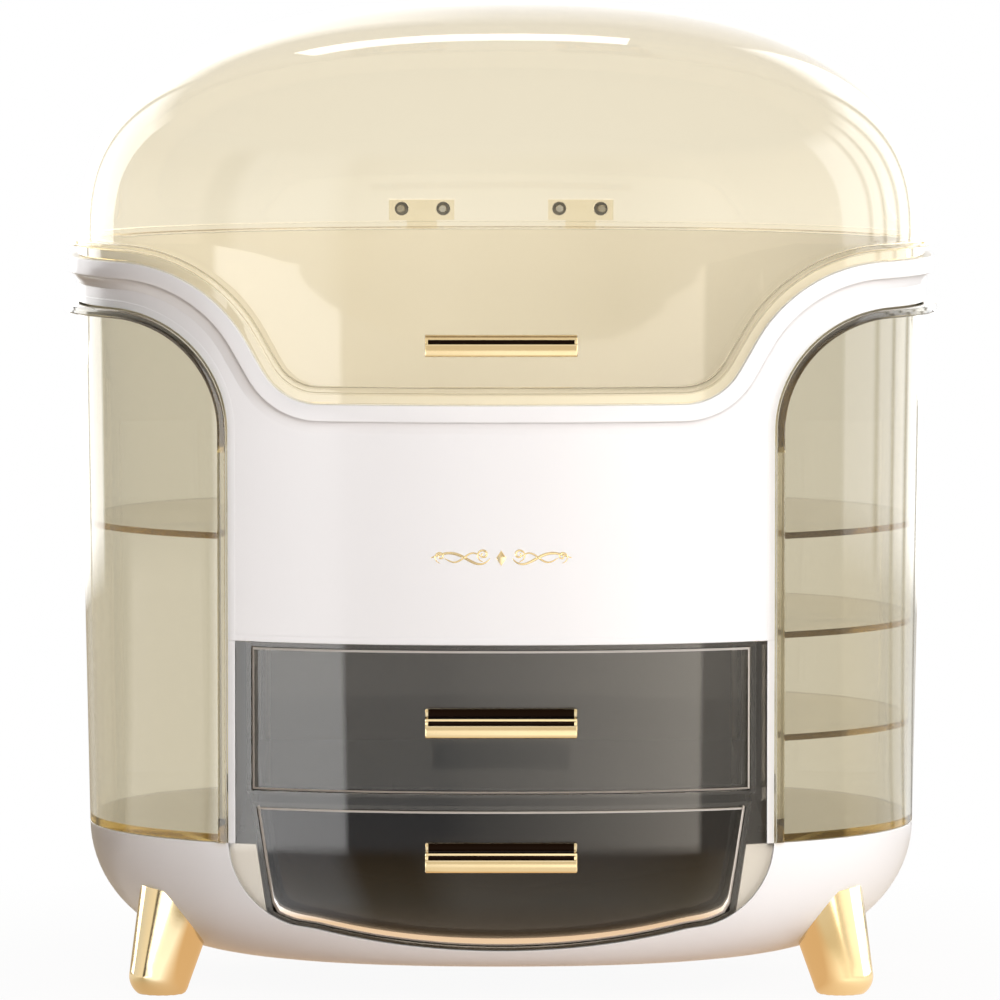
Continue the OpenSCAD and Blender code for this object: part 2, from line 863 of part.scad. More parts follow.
module hinge_leaf() {
    half = hinge_w / 2;
    color(clear_tint)
        difference() {
            union() {
                block(hinge_x - half, hinge_x + half, inside_y, hinge_y - 1, leaf_z0, leaf_z0 + leaf_h);
                block(hinge_x - knuckle_w / 2, hinge_x + knuckle_w / 2, hinge_y - knuckle_r,
                    hinge_y - 1, hinge_z, leaf_z0 + 1);
                rod_x(hinge_x - knuckle_w / 2, hinge_x + knuckle_w / 2, hinge_y, hinge_z, knuckle_r);
            }
            loft(dome_rings(lid_inset - 0.05));
            rod_x(hinge_x - half, hinge_x + half, hinge_y, hinge_z, lid_pin_r + pin_fit);
            for (dx = [-hinge_screw_dx, hinge_screw_dx])
                rod_y(hinge_x + dx, inside_y, far, leaf_screw_z, screw_hole_r);
        }
}

module lid_hinge_leaf_right() {
    hinge_leaf();
}

module lid_hinge_leaf_left() {
    mirror([1, 0, 0])
        hinge_leaf();
}

module hinge_leaf_screws() {
    color(steel)
        both_sides()
            for (dx = [-hinge_screw_dx, hinge_screw_dx])
                screw_y(hinge_x + dx, hinge_y - 1, leaf_screw_z, hinge_screw_len);
}

// ---- handles -----------------------------------------------------------------------------------

handle_plate = 2;       // thickness of a handle's back plate
lip_h = 1;              // thin lip above the grip bar
lip_gap = 1.5;          // groove between lip and bar

// Section of a handle in Y and Z, its back on y = 0 and its foot on z = 0: the grip bar at the
// bottom, a thin lip over a groove, then a hollow that sweeps up to the top edge
module handle_section(height) {
    round_r = 1.2;
    lip_z = grip_h + lip_gap;
    sweep_d = handle_d - 3 - handle_plate;
    sweep_h = height - lip_z - lip_h;
    polygon(concat(
        [[0, 0]],
        [for (i = [0 : 4]) let (a = 90 * i / 4)
            [-handle_d + round_r - round_r * sin(a), round_r - round_r * cos(a)]],
        [for (i = [0 : 4]) let (a = 90 * i / 4)
            [-handle_d + round_r - round_r * cos(a), grip_h - round_r + round_r * sin(a)]],
        [[-handle_plate, grip_h], [-handle_plate, lip_z], [-handle_d + 3, lip_z]],
        [for (i = [0 : arc_steps]) let (a = 90 * i / arc_steps)
            [-handle_plate - sweep_d * (1 - sin(a)), lip_z + lip_h + sweep_h * (1 - cos(a))]],
        [[0, height]]
    ));
}

// Handle centred on height z, whose foremost back edge is at y: its back follows the bowed front
// that is given as children
module handle(y, z, height) {
    color(gold)
        difference() {
            union() {
                translate([-handle_w / 2, y, z - height / 2])
                    rotate([90, 0, 90])
                        linear_extrude(handle_w)
                            handle_section(height);
                block(-handle_w / 2, handle_w / 2, y - bite, y + 3, z - height / 2, z + height / 2);
            }
            children();
            for (x = [-handle_screw_x, handle_screw_x])
                rod_y(x, y - handle_screw_bite, y + 4, z, screw_bore_r);
        }
}

// A pair of screws whose heads are behind a front that is this thick, under a handle at y
module handle_screws(y, z, front) {
    color(steel)
        for (x = [-handle_screw_x, handle_screw_x]) {
            rod_y(x, y - handle_screw_bite, y + front + bite, z, screw_r);
            rod_y(x, y + front, y + front + screw_head_h, z, screw_head_r);
        }
}

lid_handle_z = rim_low + lid_handle_up;
upper_handle_z = (upper_bottom + upper_top) / 2;
lower_handle_z = lower_top - lower_handle_down;
touch = 0.03;           // film of air between a handle and its front
lid_handle_y = -face_y(0, lid_handle_z, lid_inset);
upper_handle_y = -face_y(0, upper_handle_z, housing_inset);
lower_handle_y = -face_y(0, base_top, housing_inset);

module lid_handle() {
    handle(lid_handle_y, lid_handle_z, lid_handle_h)
        loft(dome_rings(lid_inset - touch));
}

module lid_handle_screws() {
    handle_screws(lid_handle_y + 1, lid_handle_z, clear_wall + 0.6);
}

module upper_drawer_handle() {
    handle(upper_handle_y, upper_handle_z, drawer_handle_h)
        body_solid(upper_bottom, upper_top, housing_inset - touch);
}

module upper_handle_screws() {
    handle_screws(upper_handle_y + 1, upper_handle_z, drawer_front + 0.6);
}

module lower_drawer_handle() {
    handle(lower_handle_y, lower_handle_z, drawer_handle_h)
        body_solid(opening_bottom, lower_top, housing_inset - touch);
}

module lower_handle_screws() {
    handle_screws(lower_handle_y + 1, lower_handle_z, drawer_front + 0.6);
}

// ---- side cabinets ---------------------------------------------------------------------------

door_z0 = base_top + 0.4;
door_barrel_top = arch_z + sqrt(pow(arch_r, 2) - pow(arch_x - door_x + barrel_r, 2)) - 1;
door_flange_back = 80;                  // where the flange ends, short of the hinge
window_edge = 9;                        // frame left round the cabinet's open inner side

// What lies outside the panel's side wall, clear of the case when the cabinet swings
module door_space() {
    difference() {
        arch_prism(door_gap);
        block(0, door_x, door_y - barrel_r, far, 0, far);
    }
}

module door_shell(shelf_heights) {
    color(clear_tint)
        difference() {
            union() {
                difference() {
                    intersection() {
                        body_solid(door_z0, arch_top);
                        door_space();
                    }
                    intersection() {
                        body_solid(door_z0 + door_floor, arch_top + 1, clear_wall);
                        arch_prism(door_gap + clear_wall);
                    }
                    block(0, panel_half + door_gap + clear_wall + bite, -face_y(panel_half, base_top)
                        + window_edge, door_y - barrel_r - window_edge,
                        door_z0 + window_edge, arch_z - window_edge);
                }
                // flange round the front edge, standing out most at the side
                intersection() {
                    body_ring(door_z0, arch_top, door_flange_w, band_out_d, clear_wall - bite);
                    difference() {
                        arch_prism(door_gap);
                        arch_prism(door_gap + door_flange_h);
                    }
                    block(0, far, -far, door_flange_back, door_z0, arch_top);
                }
                // ledges that the shelves lie on
                for (z = shelf_heights)
                    intersection() {
                        difference() {
                            body_solid(z - 1.6, z, clear_wall - bite);
                            body_solid(z - 2, z + 1, clear_wall + 2);
                        }
                        block(door_x + 4, far, -far, far, z - 2, z);
                    }
                rod_z(door_x, door_y, door_z0, door_barrel_top, barrel_r);
            }
            rod_z(door_x, door_y, door_barrel_top, far, ear_r + door_gap);
            rod_z(door_x, door_y, door_z0 - 1, door_z0 + 9, door_pin_r + pin_fit);
            rod_z(door_x, door_y, door_barrel_top - 9, door_barrel_top + 1, door_pin_r + pin_fit);
        }
}

module shelf(z) {
    color(clear_tint)
        difference() {
            intersection() {
                body_solid(z, z + shelf_t, clear_wall + seat_gap);
                block(panel_half + door_gap + clear_wall + seat_gap, far, -far, far, z, z + shelf_t);
            }
            rod_z(door_x, door_y, z - 1, z + shelf_t + 1, barrel_r + seat_gap);
            block(0, door_x, door_y - barrel_r - seat_gap, far, z - 1, z + shelf_t + 1);
        }
}

module door_pins() {
    color(steel) {
        rod_z(door_x, door_y, base_top - 9, door_z0 + 8, door_pin_r);
        rod_z(door_x, door_y, door_barrel_top - 8, door_barrel_top + 10, door_pin_r);
    }
}

module right_door_shell() {
    door_shell([right_shelf_lo, right_shelf_mid, right_shelf_hi]);
}

module right_shelf_upper() {
    shelf(right_shelf_hi);
}

module right_shelf_middle() {
    shelf(right_shelf_mid);
}

module right_shelf_lower() {
    shelf(right_shelf_lo);
}

module right_door_pins() {
    door_pins();
}

module left_door_shell() {
    mirror([1, 0, 0])
        door_shell([left_shelf_z]);
}

module left_door_shelf() {
    mirror([1, 0, 0])
        shelf(left_shelf_z);
}

module left_door_pins() {
    mirror([1, 0, 0])
        door_pins();
}

// ---- drawers -----------------------------------------------------------------------------------

module upper_drawer_tray() {
    side_top = upper_top - side_drop;
    color(smoke)
        difference() {
            intersection() {
                body_solid(upper_bottom - 1, upper_top + 1, housing_inset);
                upper_prism(0, -far, drawer_back);
            }
            intersection() {
                body_solid(upper_bottom, upper_top + 2, housing_inset + drawer_front);
                block(-upper_half + drawer_wall, upper_half - drawer_wall, -far,
                    drawer_back - drawer_wall, upper_bottom + drawer_wall, upper_top + 1);
            }
            intersection() {
                body_solid(upper_bottom, upper_top + 2, housing_inset + drawer_front);
                block(-far, far, -far, far, side_top, upper_top + 1);
            }
            for (x = [-handle_screw_x, handle_screw_x])
                rod_y(x, -far, -inside_y, upper_handle_z, screw_hole_r);
        }
}

module lower_drawer_tray() {
    side_top = lower_top - side_drop;
    color(smoke)
        difference() {
            intersection() {
                body_solid(base_bottom, lower_top + 1, housing_inset);
                lower_prism(0, -far, drawer_back);
            }
            intersection() {
                body_solid(base_bottom, lower_top + 2, housing_inset + drawer_front);
                lower_prism(-drawer_wall, -far, drawer_back - drawer_wall);
            }
            intersection() {
                body_solid(base_bottom, lower_top + 2, housing_inset + drawer_front);
                block(-far, far, -far, far, side_top, lower_top + 1);
            }
            for (x = [-handle_screw_x, handle_screw_x])
                rod_y(x, -far, -inside_y, lower_handle_z, screw_hole_r);
        }
}

base_shell();
left_plinth_cover();
right_plinth_cover();
foot_front_left();
foot_front_right();
foot_rear_left();
foot_rear_right();
foot_screws();
drawer_housing();
upper_case();
case_screws();
back_panel();
back_panel_screws();
lid_hinge_base_left();
lid_hinge_base_right();
lid_hinge_pins();
hinge_base_screws();
dome_lid();
lid_handle();
lid_handle_screws();
lid_hinge_leaf_left();
lid_hinge_leaf_right();
hinge_leaf_screws();
left_door_shell();
left_door_shelf();
left_door_pins();
right_door_shell();
right_shelf_upper();
right_shelf_middle();
right_shelf_lower();
right_door_pins();
upper_drawer_tray();
upper_drawer_handle();
upper_handle_screws();
lower_drawer_tray();
lower_drawer_handle();
lower_handle_screws();
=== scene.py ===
import bmesh
import bpy
import numpy as np
from mathutils import Matrix, Vector


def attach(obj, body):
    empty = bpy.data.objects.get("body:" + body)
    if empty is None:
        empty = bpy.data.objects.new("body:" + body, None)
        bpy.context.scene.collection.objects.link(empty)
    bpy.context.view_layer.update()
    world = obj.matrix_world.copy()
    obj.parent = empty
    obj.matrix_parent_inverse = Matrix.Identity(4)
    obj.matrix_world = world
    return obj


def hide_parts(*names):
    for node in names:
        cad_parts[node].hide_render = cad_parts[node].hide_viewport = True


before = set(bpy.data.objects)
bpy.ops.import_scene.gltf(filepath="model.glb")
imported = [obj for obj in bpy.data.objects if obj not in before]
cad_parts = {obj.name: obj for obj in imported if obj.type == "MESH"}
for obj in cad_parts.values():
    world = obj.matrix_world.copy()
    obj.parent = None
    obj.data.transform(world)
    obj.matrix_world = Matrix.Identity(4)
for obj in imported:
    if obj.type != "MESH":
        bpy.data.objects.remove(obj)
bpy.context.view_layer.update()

# ---- White base ------------------------------------------------------------------------------
# A bowl moulded in white ABS: an oval that turns in below its top edge to a flat floor. Its front
# is cut open round the drawers, and two ears at the back carry the side cabinets' pivots.

MM = 0.001
POWER = 2.25            # squareness of the oval plan
BASE_W, BASE_D = 341.6, 243.0
CASE_W, CASE_D = 351.0, 250.0
BASE_BOTTOM, BASE_TOP, RIM = 15.5, 66.0, 301.0
TURN_W, TURN_D = 55.0, 24.0
WALL = 3.0
PANEL = 111.0           # half width of the block between the side cabinets
OPEN_R, OPEN_SAG, OPEN_BOTTOM = 36.0, 8.4, 23.2
PIVOT_X, PIVOT_Y = 116.5, 95.47
EAR_R, EAR_H = 5.5, 14.0
FACE_INSET, FRONT_T = 0.4, 3.0      # the drawers' fronts and their frame behind the body's face
SLIDE_GAP, HOUSING_WALL, HOUSING_GAP = 0.4, 1.6, 0.35
LOWER_HALF, LOWER_FOOT, LOWER_FOOT_Z, LOWER_TOP = 99.0, 93.0, 41.0, 81.4
TAPER = (LOWER_HALF - LOWER_FOOT) / (LOWER_TOP - LOWER_FOOT_Z)
CORNER_T, CORNER_FOOT, CORNER_LAP = 1.6, 37.8, 3.0
LEDGE_Z = 63.5          # seat of the plinth covers
FIT = 0.2               # clearance between parts that are fixed to each other
MERGE = 4e-6            # metres within which points become one
NO_AREA = 1e-12         # square metres, of a face that has shrunk to a line


def half_size(z, inset=0.0):
    """Half width and half depth of the body at height z: a linear flare above the base's top edge
    and a quarter ellipse below it, all set in by a distance."""
    z = np.asarray(z, float)
    flare = np.maximum(0, z - BASE_TOP) / (RIM - BASE_TOP)
    sunk = np.clip((BASE_TOP - z) / (BASE_TOP - BASE_BOTTOM - inset), 0, 1)
    turned = 1 - np.sqrt(1 - sunk**2)
    half_w = blend(BASE_W, CASE_W, flare) / 2 - (TURN_W - inset) * turned - inset
    half_d = blend(BASE_D, CASE_D, flare) / 2 - (TURN_D - inset) * turned - inset
    return half_w, half_d


def oval_y(x, half_w, half_d):
    """Depth of the oval at x, from (x/a)^p + (y/b)^p = 1."""
    share = np.clip(np.abs(x) / half_w, 0, 1)
    return half_d * (1 - share**POWER) ** (1 / POWER)


def face_y(x, z, inset=0.0):
    """Depth of the body's face at x and z, set in by a distance."""
    return oval_y(x, *half_size(z, inset))


def unit_oval(angle):
    """Oval of half width and depth 1: cos and sin, each to the power 2/p with its sign."""
    c, s = np.cos(angle), np.sin(angle)
    return np.sign(c) * np.abs(c) ** (2 / POWER), np.sign(s) * np.abs(s) ** (2 / POWER)


def on_oval(half_w, half_d, angle, z):
    """Points of ovals at some angles and heights."""
    ux, uy = unit_oval(angle)
    return grid_of(half_w * ux, half_d * uy, z)


def angle_at(x, half_w):
    """Angle of the unit oval, from the side, at which its x is x over the half width."""
    return np.arccos(np.clip(x / half_w, 0, 1) ** (POWER / 2))


def arc(cx, cz, r, start, end, steps):
    """Points of an arc in X and Z, between two angles in degrees."""
    a = np.radians(np.linspace(start, end, steps + 1))
    return grid_of(cx + r * np.cos(a), cz + r * np.sin(a))


def blend(start, end, part):
    """The way from start to end, as the share of it given by part: start + (end - start) * part."""
    return start + (end - start) * part


def runs(*stops):
    """Values along a line, given as stop, count of steps, stop, count of steps, stop."""
    parts = [np.linspace(stops[i], stops[i + 2], stops[i + 1] + 1)[1:] for i in range(0, len(stops) - 2, 2)]
    return np.concatenate([[stops[0]], *parts])


def grid_of(*axes):
    """Points from arrays that broadcast together: X, Y and Z, or X and Z for a flat outline."""
    return np.stack(np.broadcast_arrays(*axes), axis=-1)


def shrink(ring, steps=5):
    """Rows that close a ring of points with a flat cap, each nearer to the ring's middle."""
    middle = ring.mean(axis=0)
    return blend(middle, ring, np.linspace(1, 0, steps + 1)[1:, None, None])


def shell(outer, inner, wrap=False, hole=None):
    """Grids of a closed wall between two like grids: both faces and the edges that join them. A
    hole is cut between two rows and two columns, with edges of its own."""
    kept = np.ones((outer.shape[0] - 1, outer.shape[1] - (not wrap)), bool)
    edges = [(outer[i], inner[i]) for i in (0, -1)]
    if not wrap:
        edges += [(outer[:, j], inner[:, j]) for j in (0, -1)]
    if hole:
        r0, r1, c0, c1 = hole
        kept[r0:r1, c0:c1] = False
        cut = np.arange(c0, c1 + 1) % outer.shape[1]
        edges += [(outer[i, cut], inner[i, cut]) for i in (r0, r1)]
        edges += [(outer[r0 : r1 + 1, j], inner[r0 : r1 + 1, j]) for j in (cut[0], cut[-1])]
    row_wraps = [wrap, wrap] + [False] * (len(edges) - 2)
    strips = [(np.stack(pair), wraps, None) for pair, wraps in zip(edges, row_wraps)]
    return [(outer, wrap, kept), (inner, wrap, kept), *strips]


def quads_of(grids):
    """Corner numbers of every kept face of some grids, counted on through all their points. Each
    grid comes with whether its columns wrap and which of its faces are kept."""
    faces, start = [], 0
    for grid, wrap, kept in grids:
        rows, columns = grid.shape[:2]
        i = np.arange(rows - 1)[:, None]
        j = np.arange(columns if wrap else columns - 1)[None, :]
        k = (j + 1) % columns
        low, high = i * columns, (i + 1) * columns
        quads = np.stack([low + j, low + k, high + k, high + j], axis=-1)
        faces.append((quads.reshape(-1, 4) if kept is None else quads[kept]) + start)
        start += rows * columns
    return np.concatenate(faces)


def solid(name, grids, body, nodes=(), sharp=35):
    """A mesh from grids of points in millimetres. It rides on a body and stands for CAD nodes."""
    points = np.concatenate([grid.reshape(-1, 3) for grid, _, _ in grids])
    return join(name, points, quads_of(grids), body, nodes, sharp)


def join(name, points, faces, body, nodes=(), sharp=35):
    """A mesh whose points become one where they meet, with its faces pointing outwards."""
    mesh = bpy.data.meshes.new(name)
    mesh.from_pydata((points * MM).tolist(), [], faces.tolist())
    work = bmesh.new()
    work.from_mesh(mesh)
    bmesh.ops.remove_doubles(work, verts=work.verts, dist=MERGE)
    empty = [f for f in work.faces if f.calc_area() < NO_AREA]
    bmesh.ops.delete(work, geom=empty, context="FACES")
    bmesh.ops.recalc_face_normals(work, faces=work.faces)
    work.to_mesh(mesh)
    work.free()
    mesh.shade_smooth()
    mesh.set_sharp_from_angle(angle=np.radians(sharp))
    ob = bpy.data.objects.new(name, mesh)
    bpy.context.scene.collection.objects.link(ob)
    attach(ob, body)
    if nodes:
        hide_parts(*nodes)
    return ob


def rod(x, y, z0, z1, r):
    """Closed upright cylinder as one wrapped grid: middle, rim, rim, middle."""
    a = np.linspace(0, 2 * np.pi, 40, endpoint=False)
    radius = np.array([0, r, r, 0])[:, None]
    heights = np.array([z0, z0, z1, z1])[:, None]
    return grid_of(x + radius * np.cos(a), y + radius * np.sin(a), heights), True, None


def opening_line(inset=0.0, steps=24):
    """Right half of the drawer opening's lower outline: the hanging belly from its middle, then
    the corner up to the top of the base, all set in by a distance."""
    corner_x, corner_z = PANEL - OPEN_R, OPEN_BOTTOM + OPEN_SAG + OPEN_R
    belly_r = (corner_x**2 + OPEN_SAG**2) / (2 * OPEN_SAG)
    half = np.degrees(np.arcsin(corner_x / belly_r))
    belly = arc(0, OPEN_BOTTOM + belly_r, belly_r - inset, -90, -90 + half, 2 * steps)
    top = np.degrees(np.arcsin((BASE_TOP - corner_z) / (OPEN_R - inset)))
    return np.concatenate([belly, arc(corner_x, corner_z, OPEN_R - inset, -90 + half, top, steps)[1:]])


def bowl(inset):
    """The base from its edge to the middle of its floor. Columns in front start on the opening's
    outline and the others on the top edge. Each runs down a quarter ellipse by even angles."""
    edge_x, edge_z = opening_line().T
    front = -angle_at(edge_x, half_size(edge_z, inset)[0])
    right = runs(front[-1], 70, np.pi / 2)[1:]
    angle = np.concatenate([front, right])
    edge = np.concatenate([edge_z, np.full(len(right), BASE_TOP)])
    angle = np.concatenate([angle, np.pi - angle[-2:0:-1]])
    edge = np.concatenate([edge, edge[-2:0:-1]])
    depth = BASE_TOP - BASE_BOTTOM - inset
    first = np.arcsin(np.clip((BASE_TOP - edge) / depth, 0, 1))
    a = blend(first, np.pi / 2, np.linspace(0, 1, 22)[:, None])
    half_w = BASE_W / 2 - inset - (TURN_W - inset) * (1 - np.cos(a))
    half_d = BASE_D / 2 - inset - (TURN_D - inset) * (1 - np.cos(a))
    sides = on_oval(half_w, half_d, angle, BASE_TOP - depth * np.sin(a))
    return np.concatenate([sides, shrink(sides[-1])])


def bowed_plate(x, z, inset, thickness):
    """A plate that follows the body's front face over a grid of X and Z."""
    face, back = [grid_of(x, -face_y(x, z, i), z) for i in (inset, inset + thickness)]
    return shell(face, back)


def mirror(grids):
    """The same grids on the other side of the body."""
    return [(grid * [-1, 1, 1], wrap, kept) for grid, wrap, kept in grids]


def opening_corner():
    """White plate behind the drawer frame, from the lower drawer's box to the opening's curve and,
    below the covers' seat, on behind the bowl's wall."""
    curve_x, curve_z = opening_line().T
    z = runs(CORNER_FOOT, 14, LEDGE_Z - FIT, 1, LEDGE_Z, 2, BASE_TOP - FIT)[:, None]
    clear = SLIDE_GAP + HOUSING_WALL + HOUSING_GAP
    inner = LOWER_HALF + clear - TAPER * (LOWER_TOP - z)
    rising = curve_z > CORNER_FOOT - 1
    outer = np.interp(z, curve_z[rising], curve_x[rising]) + CORNER_LAP * (z < LEDGE_Z - FIT / 2)
    x = blend(inner, outer, np.linspace(0, 1, 6))
    return bowed_plate(x, z + 0 * x, FACE_INSET + FRONT_T + HOUSING_GAP, CORNER_T)


base_parts = shell(bowl(0), bowl(WALL), wrap=True) + opening_corner() + mirror(opening_corner())
base_parts += [rod(s * PIVOT_X, PIVOT_Y, BASE_TOP - EAR_H, BASE_TOP, EAR_R) for s in (-1, 1)]
base = solid("base_bowl", base_parts, "cabinet", ["base_shell"])


def linear(hex_colour):
    """Linear RGBA of an sRGB hex colour."""
    srgb = np.array([int(hex_colour[i : i + 2], 16) for i in (1, 3, 5)]) / 255
    rgb = np.where(srgb <= 0.04045, srgb / 12.92, ((srgb + 0.055) / 1.055) ** 2.4)
    return (*rgb, 1.0)


def add(mat, kind, settings=(), links=()):
    """Adds a shader node with its settings, given as (name, value) for sockets and properties, and
    its links, given as (input, output socket)."""
    node = mat.node_tree.nodes.new("ShaderNode" + kind)
    for name, value in settings:
        if isinstance(name, int) or name in node.inputs:
            node.inputs[name].default_value = value
        else:
            setattr(node, name, value)
    for name, source in links:
        mat.node_tree.links.new(node.inputs[name], source)
    return node


def new_material(name):
    """An empty node material."""
    mat = bpy.data.materials.new(name)
    mat.use_nodes = True
    mat.node_tree.nodes.clear()
    return mat


def finish(mat, surface, volume=None):
    """Joins a material's last nodes to its output."""
    last = [("Surface", surface), ("Volume", volume)]
    add(mat, "OutputMaterial", links=[(name, node.outputs[0]) for name, node in last if node])
    return mat


def speckle(mat, scale, detail, bump=None, dull=None, under=None):
    """A noise on Object coordinates and what it drives, as a list: its own output, a node that
    raises the normal of the node under it by (strength, metres), and a roughness output."""
    place = add(mat, "TexCoord").outputs["Object"]
    noise = add(mat, "TexNoise", [("Scale", scale), ("Detail", detail)], [("Vector", place)])
    driven = [noise.outputs["Fac"]]
    if bump:
        links = [("Height", driven[0])]
        if under:
            links.append(("Normal", under.outputs["Normal"]))
        driven.append(add(mat, "Bump", [("Strength", bump[0]), ("Distance", bump[1])], links))
    if dull:
        rough = add(mat, "MapRange", [("To Min", dull[0]), ("To Max", dull[1])],
                    [("Value", driven[0])])
        driven.append(rough.outputs["Result"])
    return driven


def two_tone(mat, factor, first, second):
    """A mix of two hex colours."""
    tones = [("data_type", "RGBA"), (6, linear(first)), (7, linear(second))]
    return add(mat, "Mix", tones, [("Factor", factor)])


def moulded_white():
    """Injection-moulded ABS with a polished tool: white, glossy, with the faint long waves of
    shrinkage and a fine grain that breaks up reflections. The Bevel node rounds moulded edges."""
    mat = new_material("moulded_white_abs")
    rounded = add(mat, "Bevel", [("Radius", 0.0006), ("samples", 6)])
    waves, wavy, dull = speckle(mat, 14, 2, (0.25, 0.0006), (0.24, 0.36), rounded)
    grainy = speckle(mat, 900, 3, (0.08, 0.00003), under=wavy)[1]
    shade = two_tone(mat, waves, "#F5F6F8", "#F2F3F5")
    skin = add(mat, "BsdfPrincipled",
               [("IOR", 1.52), ("Coat Weight", 0.15), ("Coat Roughness", 0.08)],
               [("Base Color", shade.outputs[2]), ("Roughness", dull), ("Normal", grainy.outputs[0])])
    return finish(mat, skin)


def dress(mat, *pieces):
    """Gives one material to pieces, or to CAD nodes by name."""
    for ob in pieces:
        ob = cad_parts[ob] if isinstance(ob, str) else ob
        if not ob.material_slots:
            ob.data.materials.append(mat)
        for held in ob.material_slots:
            held.material = mat


white_abs = moulded_white()
dress(white_abs, base, "left_plinth_cover", "right_plinth_cover")

# ---- White upper case --------------------------------------------------------------------------
# One ABS moulding: the front panel, an arm over each side cabinet, the vaults under the arms, the
# tub and the side walls beside the drawers. A band stands out under its rim, and an upstand
# inside the lid's skirt keeps dust out. The rim dips at the front in two S curves.

DIP_DROP, DIP_HALF, FOOT_ARC, SHOULDER_ARC, DIP_SLOPE = 55.0, 74.0, 26.0, 60.0, 60.0
BEND_OUT, BEND_IN = 4, 20       # reach of the closer columns on either side of the dip's foot
RIM_LOW = RIM - DIP_DROP
SLOPE = np.radians(DIP_SLOPE)
BOTH_ARCS = FOOT_ARC + SHOULDER_ARC
STRAIGHT_DROP = DIP_DROP - BOTH_ARCS * (1 - np.cos(SLOPE))
SHOULDER_X = DIP_HALF + BOTH_ARCS * np.sin(SLOPE) + STRAIGHT_DROP / np.tan(SLOPE)
CASE_BOTTOM = 149.0
ARCH_R = 48.0
ARCH_X, ARCH_Z = PANEL + ARCH_R, 234.0
ARCH_TOP = ARCH_Z + ARCH_R
BAND_H, BAND_W, BAND_D = 7.0, 3.4, 1.4
UPSTAND_H, UPSTAND_OUT, UPSTAND_IN, UPSTAND_CHAMFER = 4.2, 2.4, 4.6, 0.4
TUB_FLOOR = 2.6
SEAM = 0.02             # hair's breadth between the parts of one moulding
THICKER_ROWS = 8        # rows below the band over which the wall grows to the upstand's inner face
EDGE_R = 0.6            # rounding of the band's and the flange's edges
COVE_H = 6.0            # height of the cove under the band
BARREL_TOP = 242.75     # of the side cabinets' hinge barrels
UPPER_EAR_GAP, UPPER_EAR_TOP = 0.4, 16.0


def rim_line(x, d=0.0):
    """Height of the rim in front, moved up by d square to itself: level, foot arc, straight
    slope, shoulder arc, level."""
    foot = arc(DIP_HALF, RIM_LOW + FOOT_ARC, FOOT_ARC - d, -90, -90 + DIP_SLOPE, 40)
    shoulder = arc(SHOULDER_X, RIM - SHOULDER_ARC, SHOULDER_ARC + d, 90 + DIP_SLOPE, 90, 60)
    line = np.concatenate([foot, shoulder])
    return np.interp(np.abs(x), line[:, 0], line[:, 1])


def case_columns():
    """Columns of the case's wall in front, from shoulder to shoulder, as their place and the
    heights of the wall's lower edge and of the level where the arches begin."""
    arch = arc(ARCH_X, ARCH_Z, ARCH_R, 180, 90, 28)
    panel = runs(-PANEL, 14, -DIP_HALF - BEND_OUT, 12, -DIP_HALF + BEND_IN, 20,
                 DIP_HALF - BEND_IN, 12, DIP_HALF + BEND_OUT, 14, PANEL)
    x = np.concatenate([-arch[::-1, 0], panel, arch[:, 0]])
    return x, *[np.concatenate([arch[::-1, 1], np.full(len(panel), level), arch[:, 1]])
                for level in (CASE_BOTTOM, ARCH_Z)]


SIDE_STEPS = 36


def go_round(x_front, half_w, half_d):
    """Points right round the oval. The front and the back follow given places in x, which end at
    the shoulders, and each side goes between its shoulders by even angles."""
    n, m = len(x_front), SIDE_STEPS
    half_w, half_d = np.broadcast_arrays(half_w, half_d)
    x, y = np.empty(half_w.shape), np.empty(half_w.shape)
    front, right, back, left = np.split(np.arange(2 * (n + m)), [n, n + m, 2 * n + m])
    x[:, front], x[:, back] = x_front, x_front[::-1]
    y[:, front] = -oval_y(x_front, half_w[:, front], half_d[:, front])
    y[:, back] = oval_y(x_front[::-1], half_w[:, back], half_d[:, back])
    part = np.linspace(-1, 1, m + 2)[1:-1]
    for side, sign in ((right, 1), (left, -1)):
        ux, uy = unit_oval(angle_at(x_front[-1], half_w[:, side]) * part)
        x[:, side], y[:, side] = sign * half_w[:, side] * ux, sign * half_d[:, side] * uy
    return x, y


def carried(rows, x_front):
    """A section carried round the body. Each row of it is a height at every column and how far it
    stands out at the sides and at the front and back."""
    z = np.array([row[0] for row in rows])
    half_w, half_d = half_size(z)
    out = np.array([row[1:] for row in rows], float)
    x, y = go_round(x_front, half_w + out[:, :1], half_d + out[:, 1:])
    return grid_of(x, y, z)


def all_round(front, level):
    """A row of heights: as given in front, level at the sides and the back."""
    return np.concatenate([front, np.full(SIDE_STEPS * 2 + len(front), level)])


def mirrored_round(front, level):
    """A row of heights: as given in front and mirrored at the back, level at the sides."""
    side = np.full(SIDE_STEPS, level)
    return np.concatenate([front, side, front[::-1], side])


def quarter(cx, cz, r, start, end, steps=4):
    """Rounded corner of a section, as a list of (out, up) pairs."""
    return [tuple(p) for p in arc(cx, cz, r, start, end, steps)]


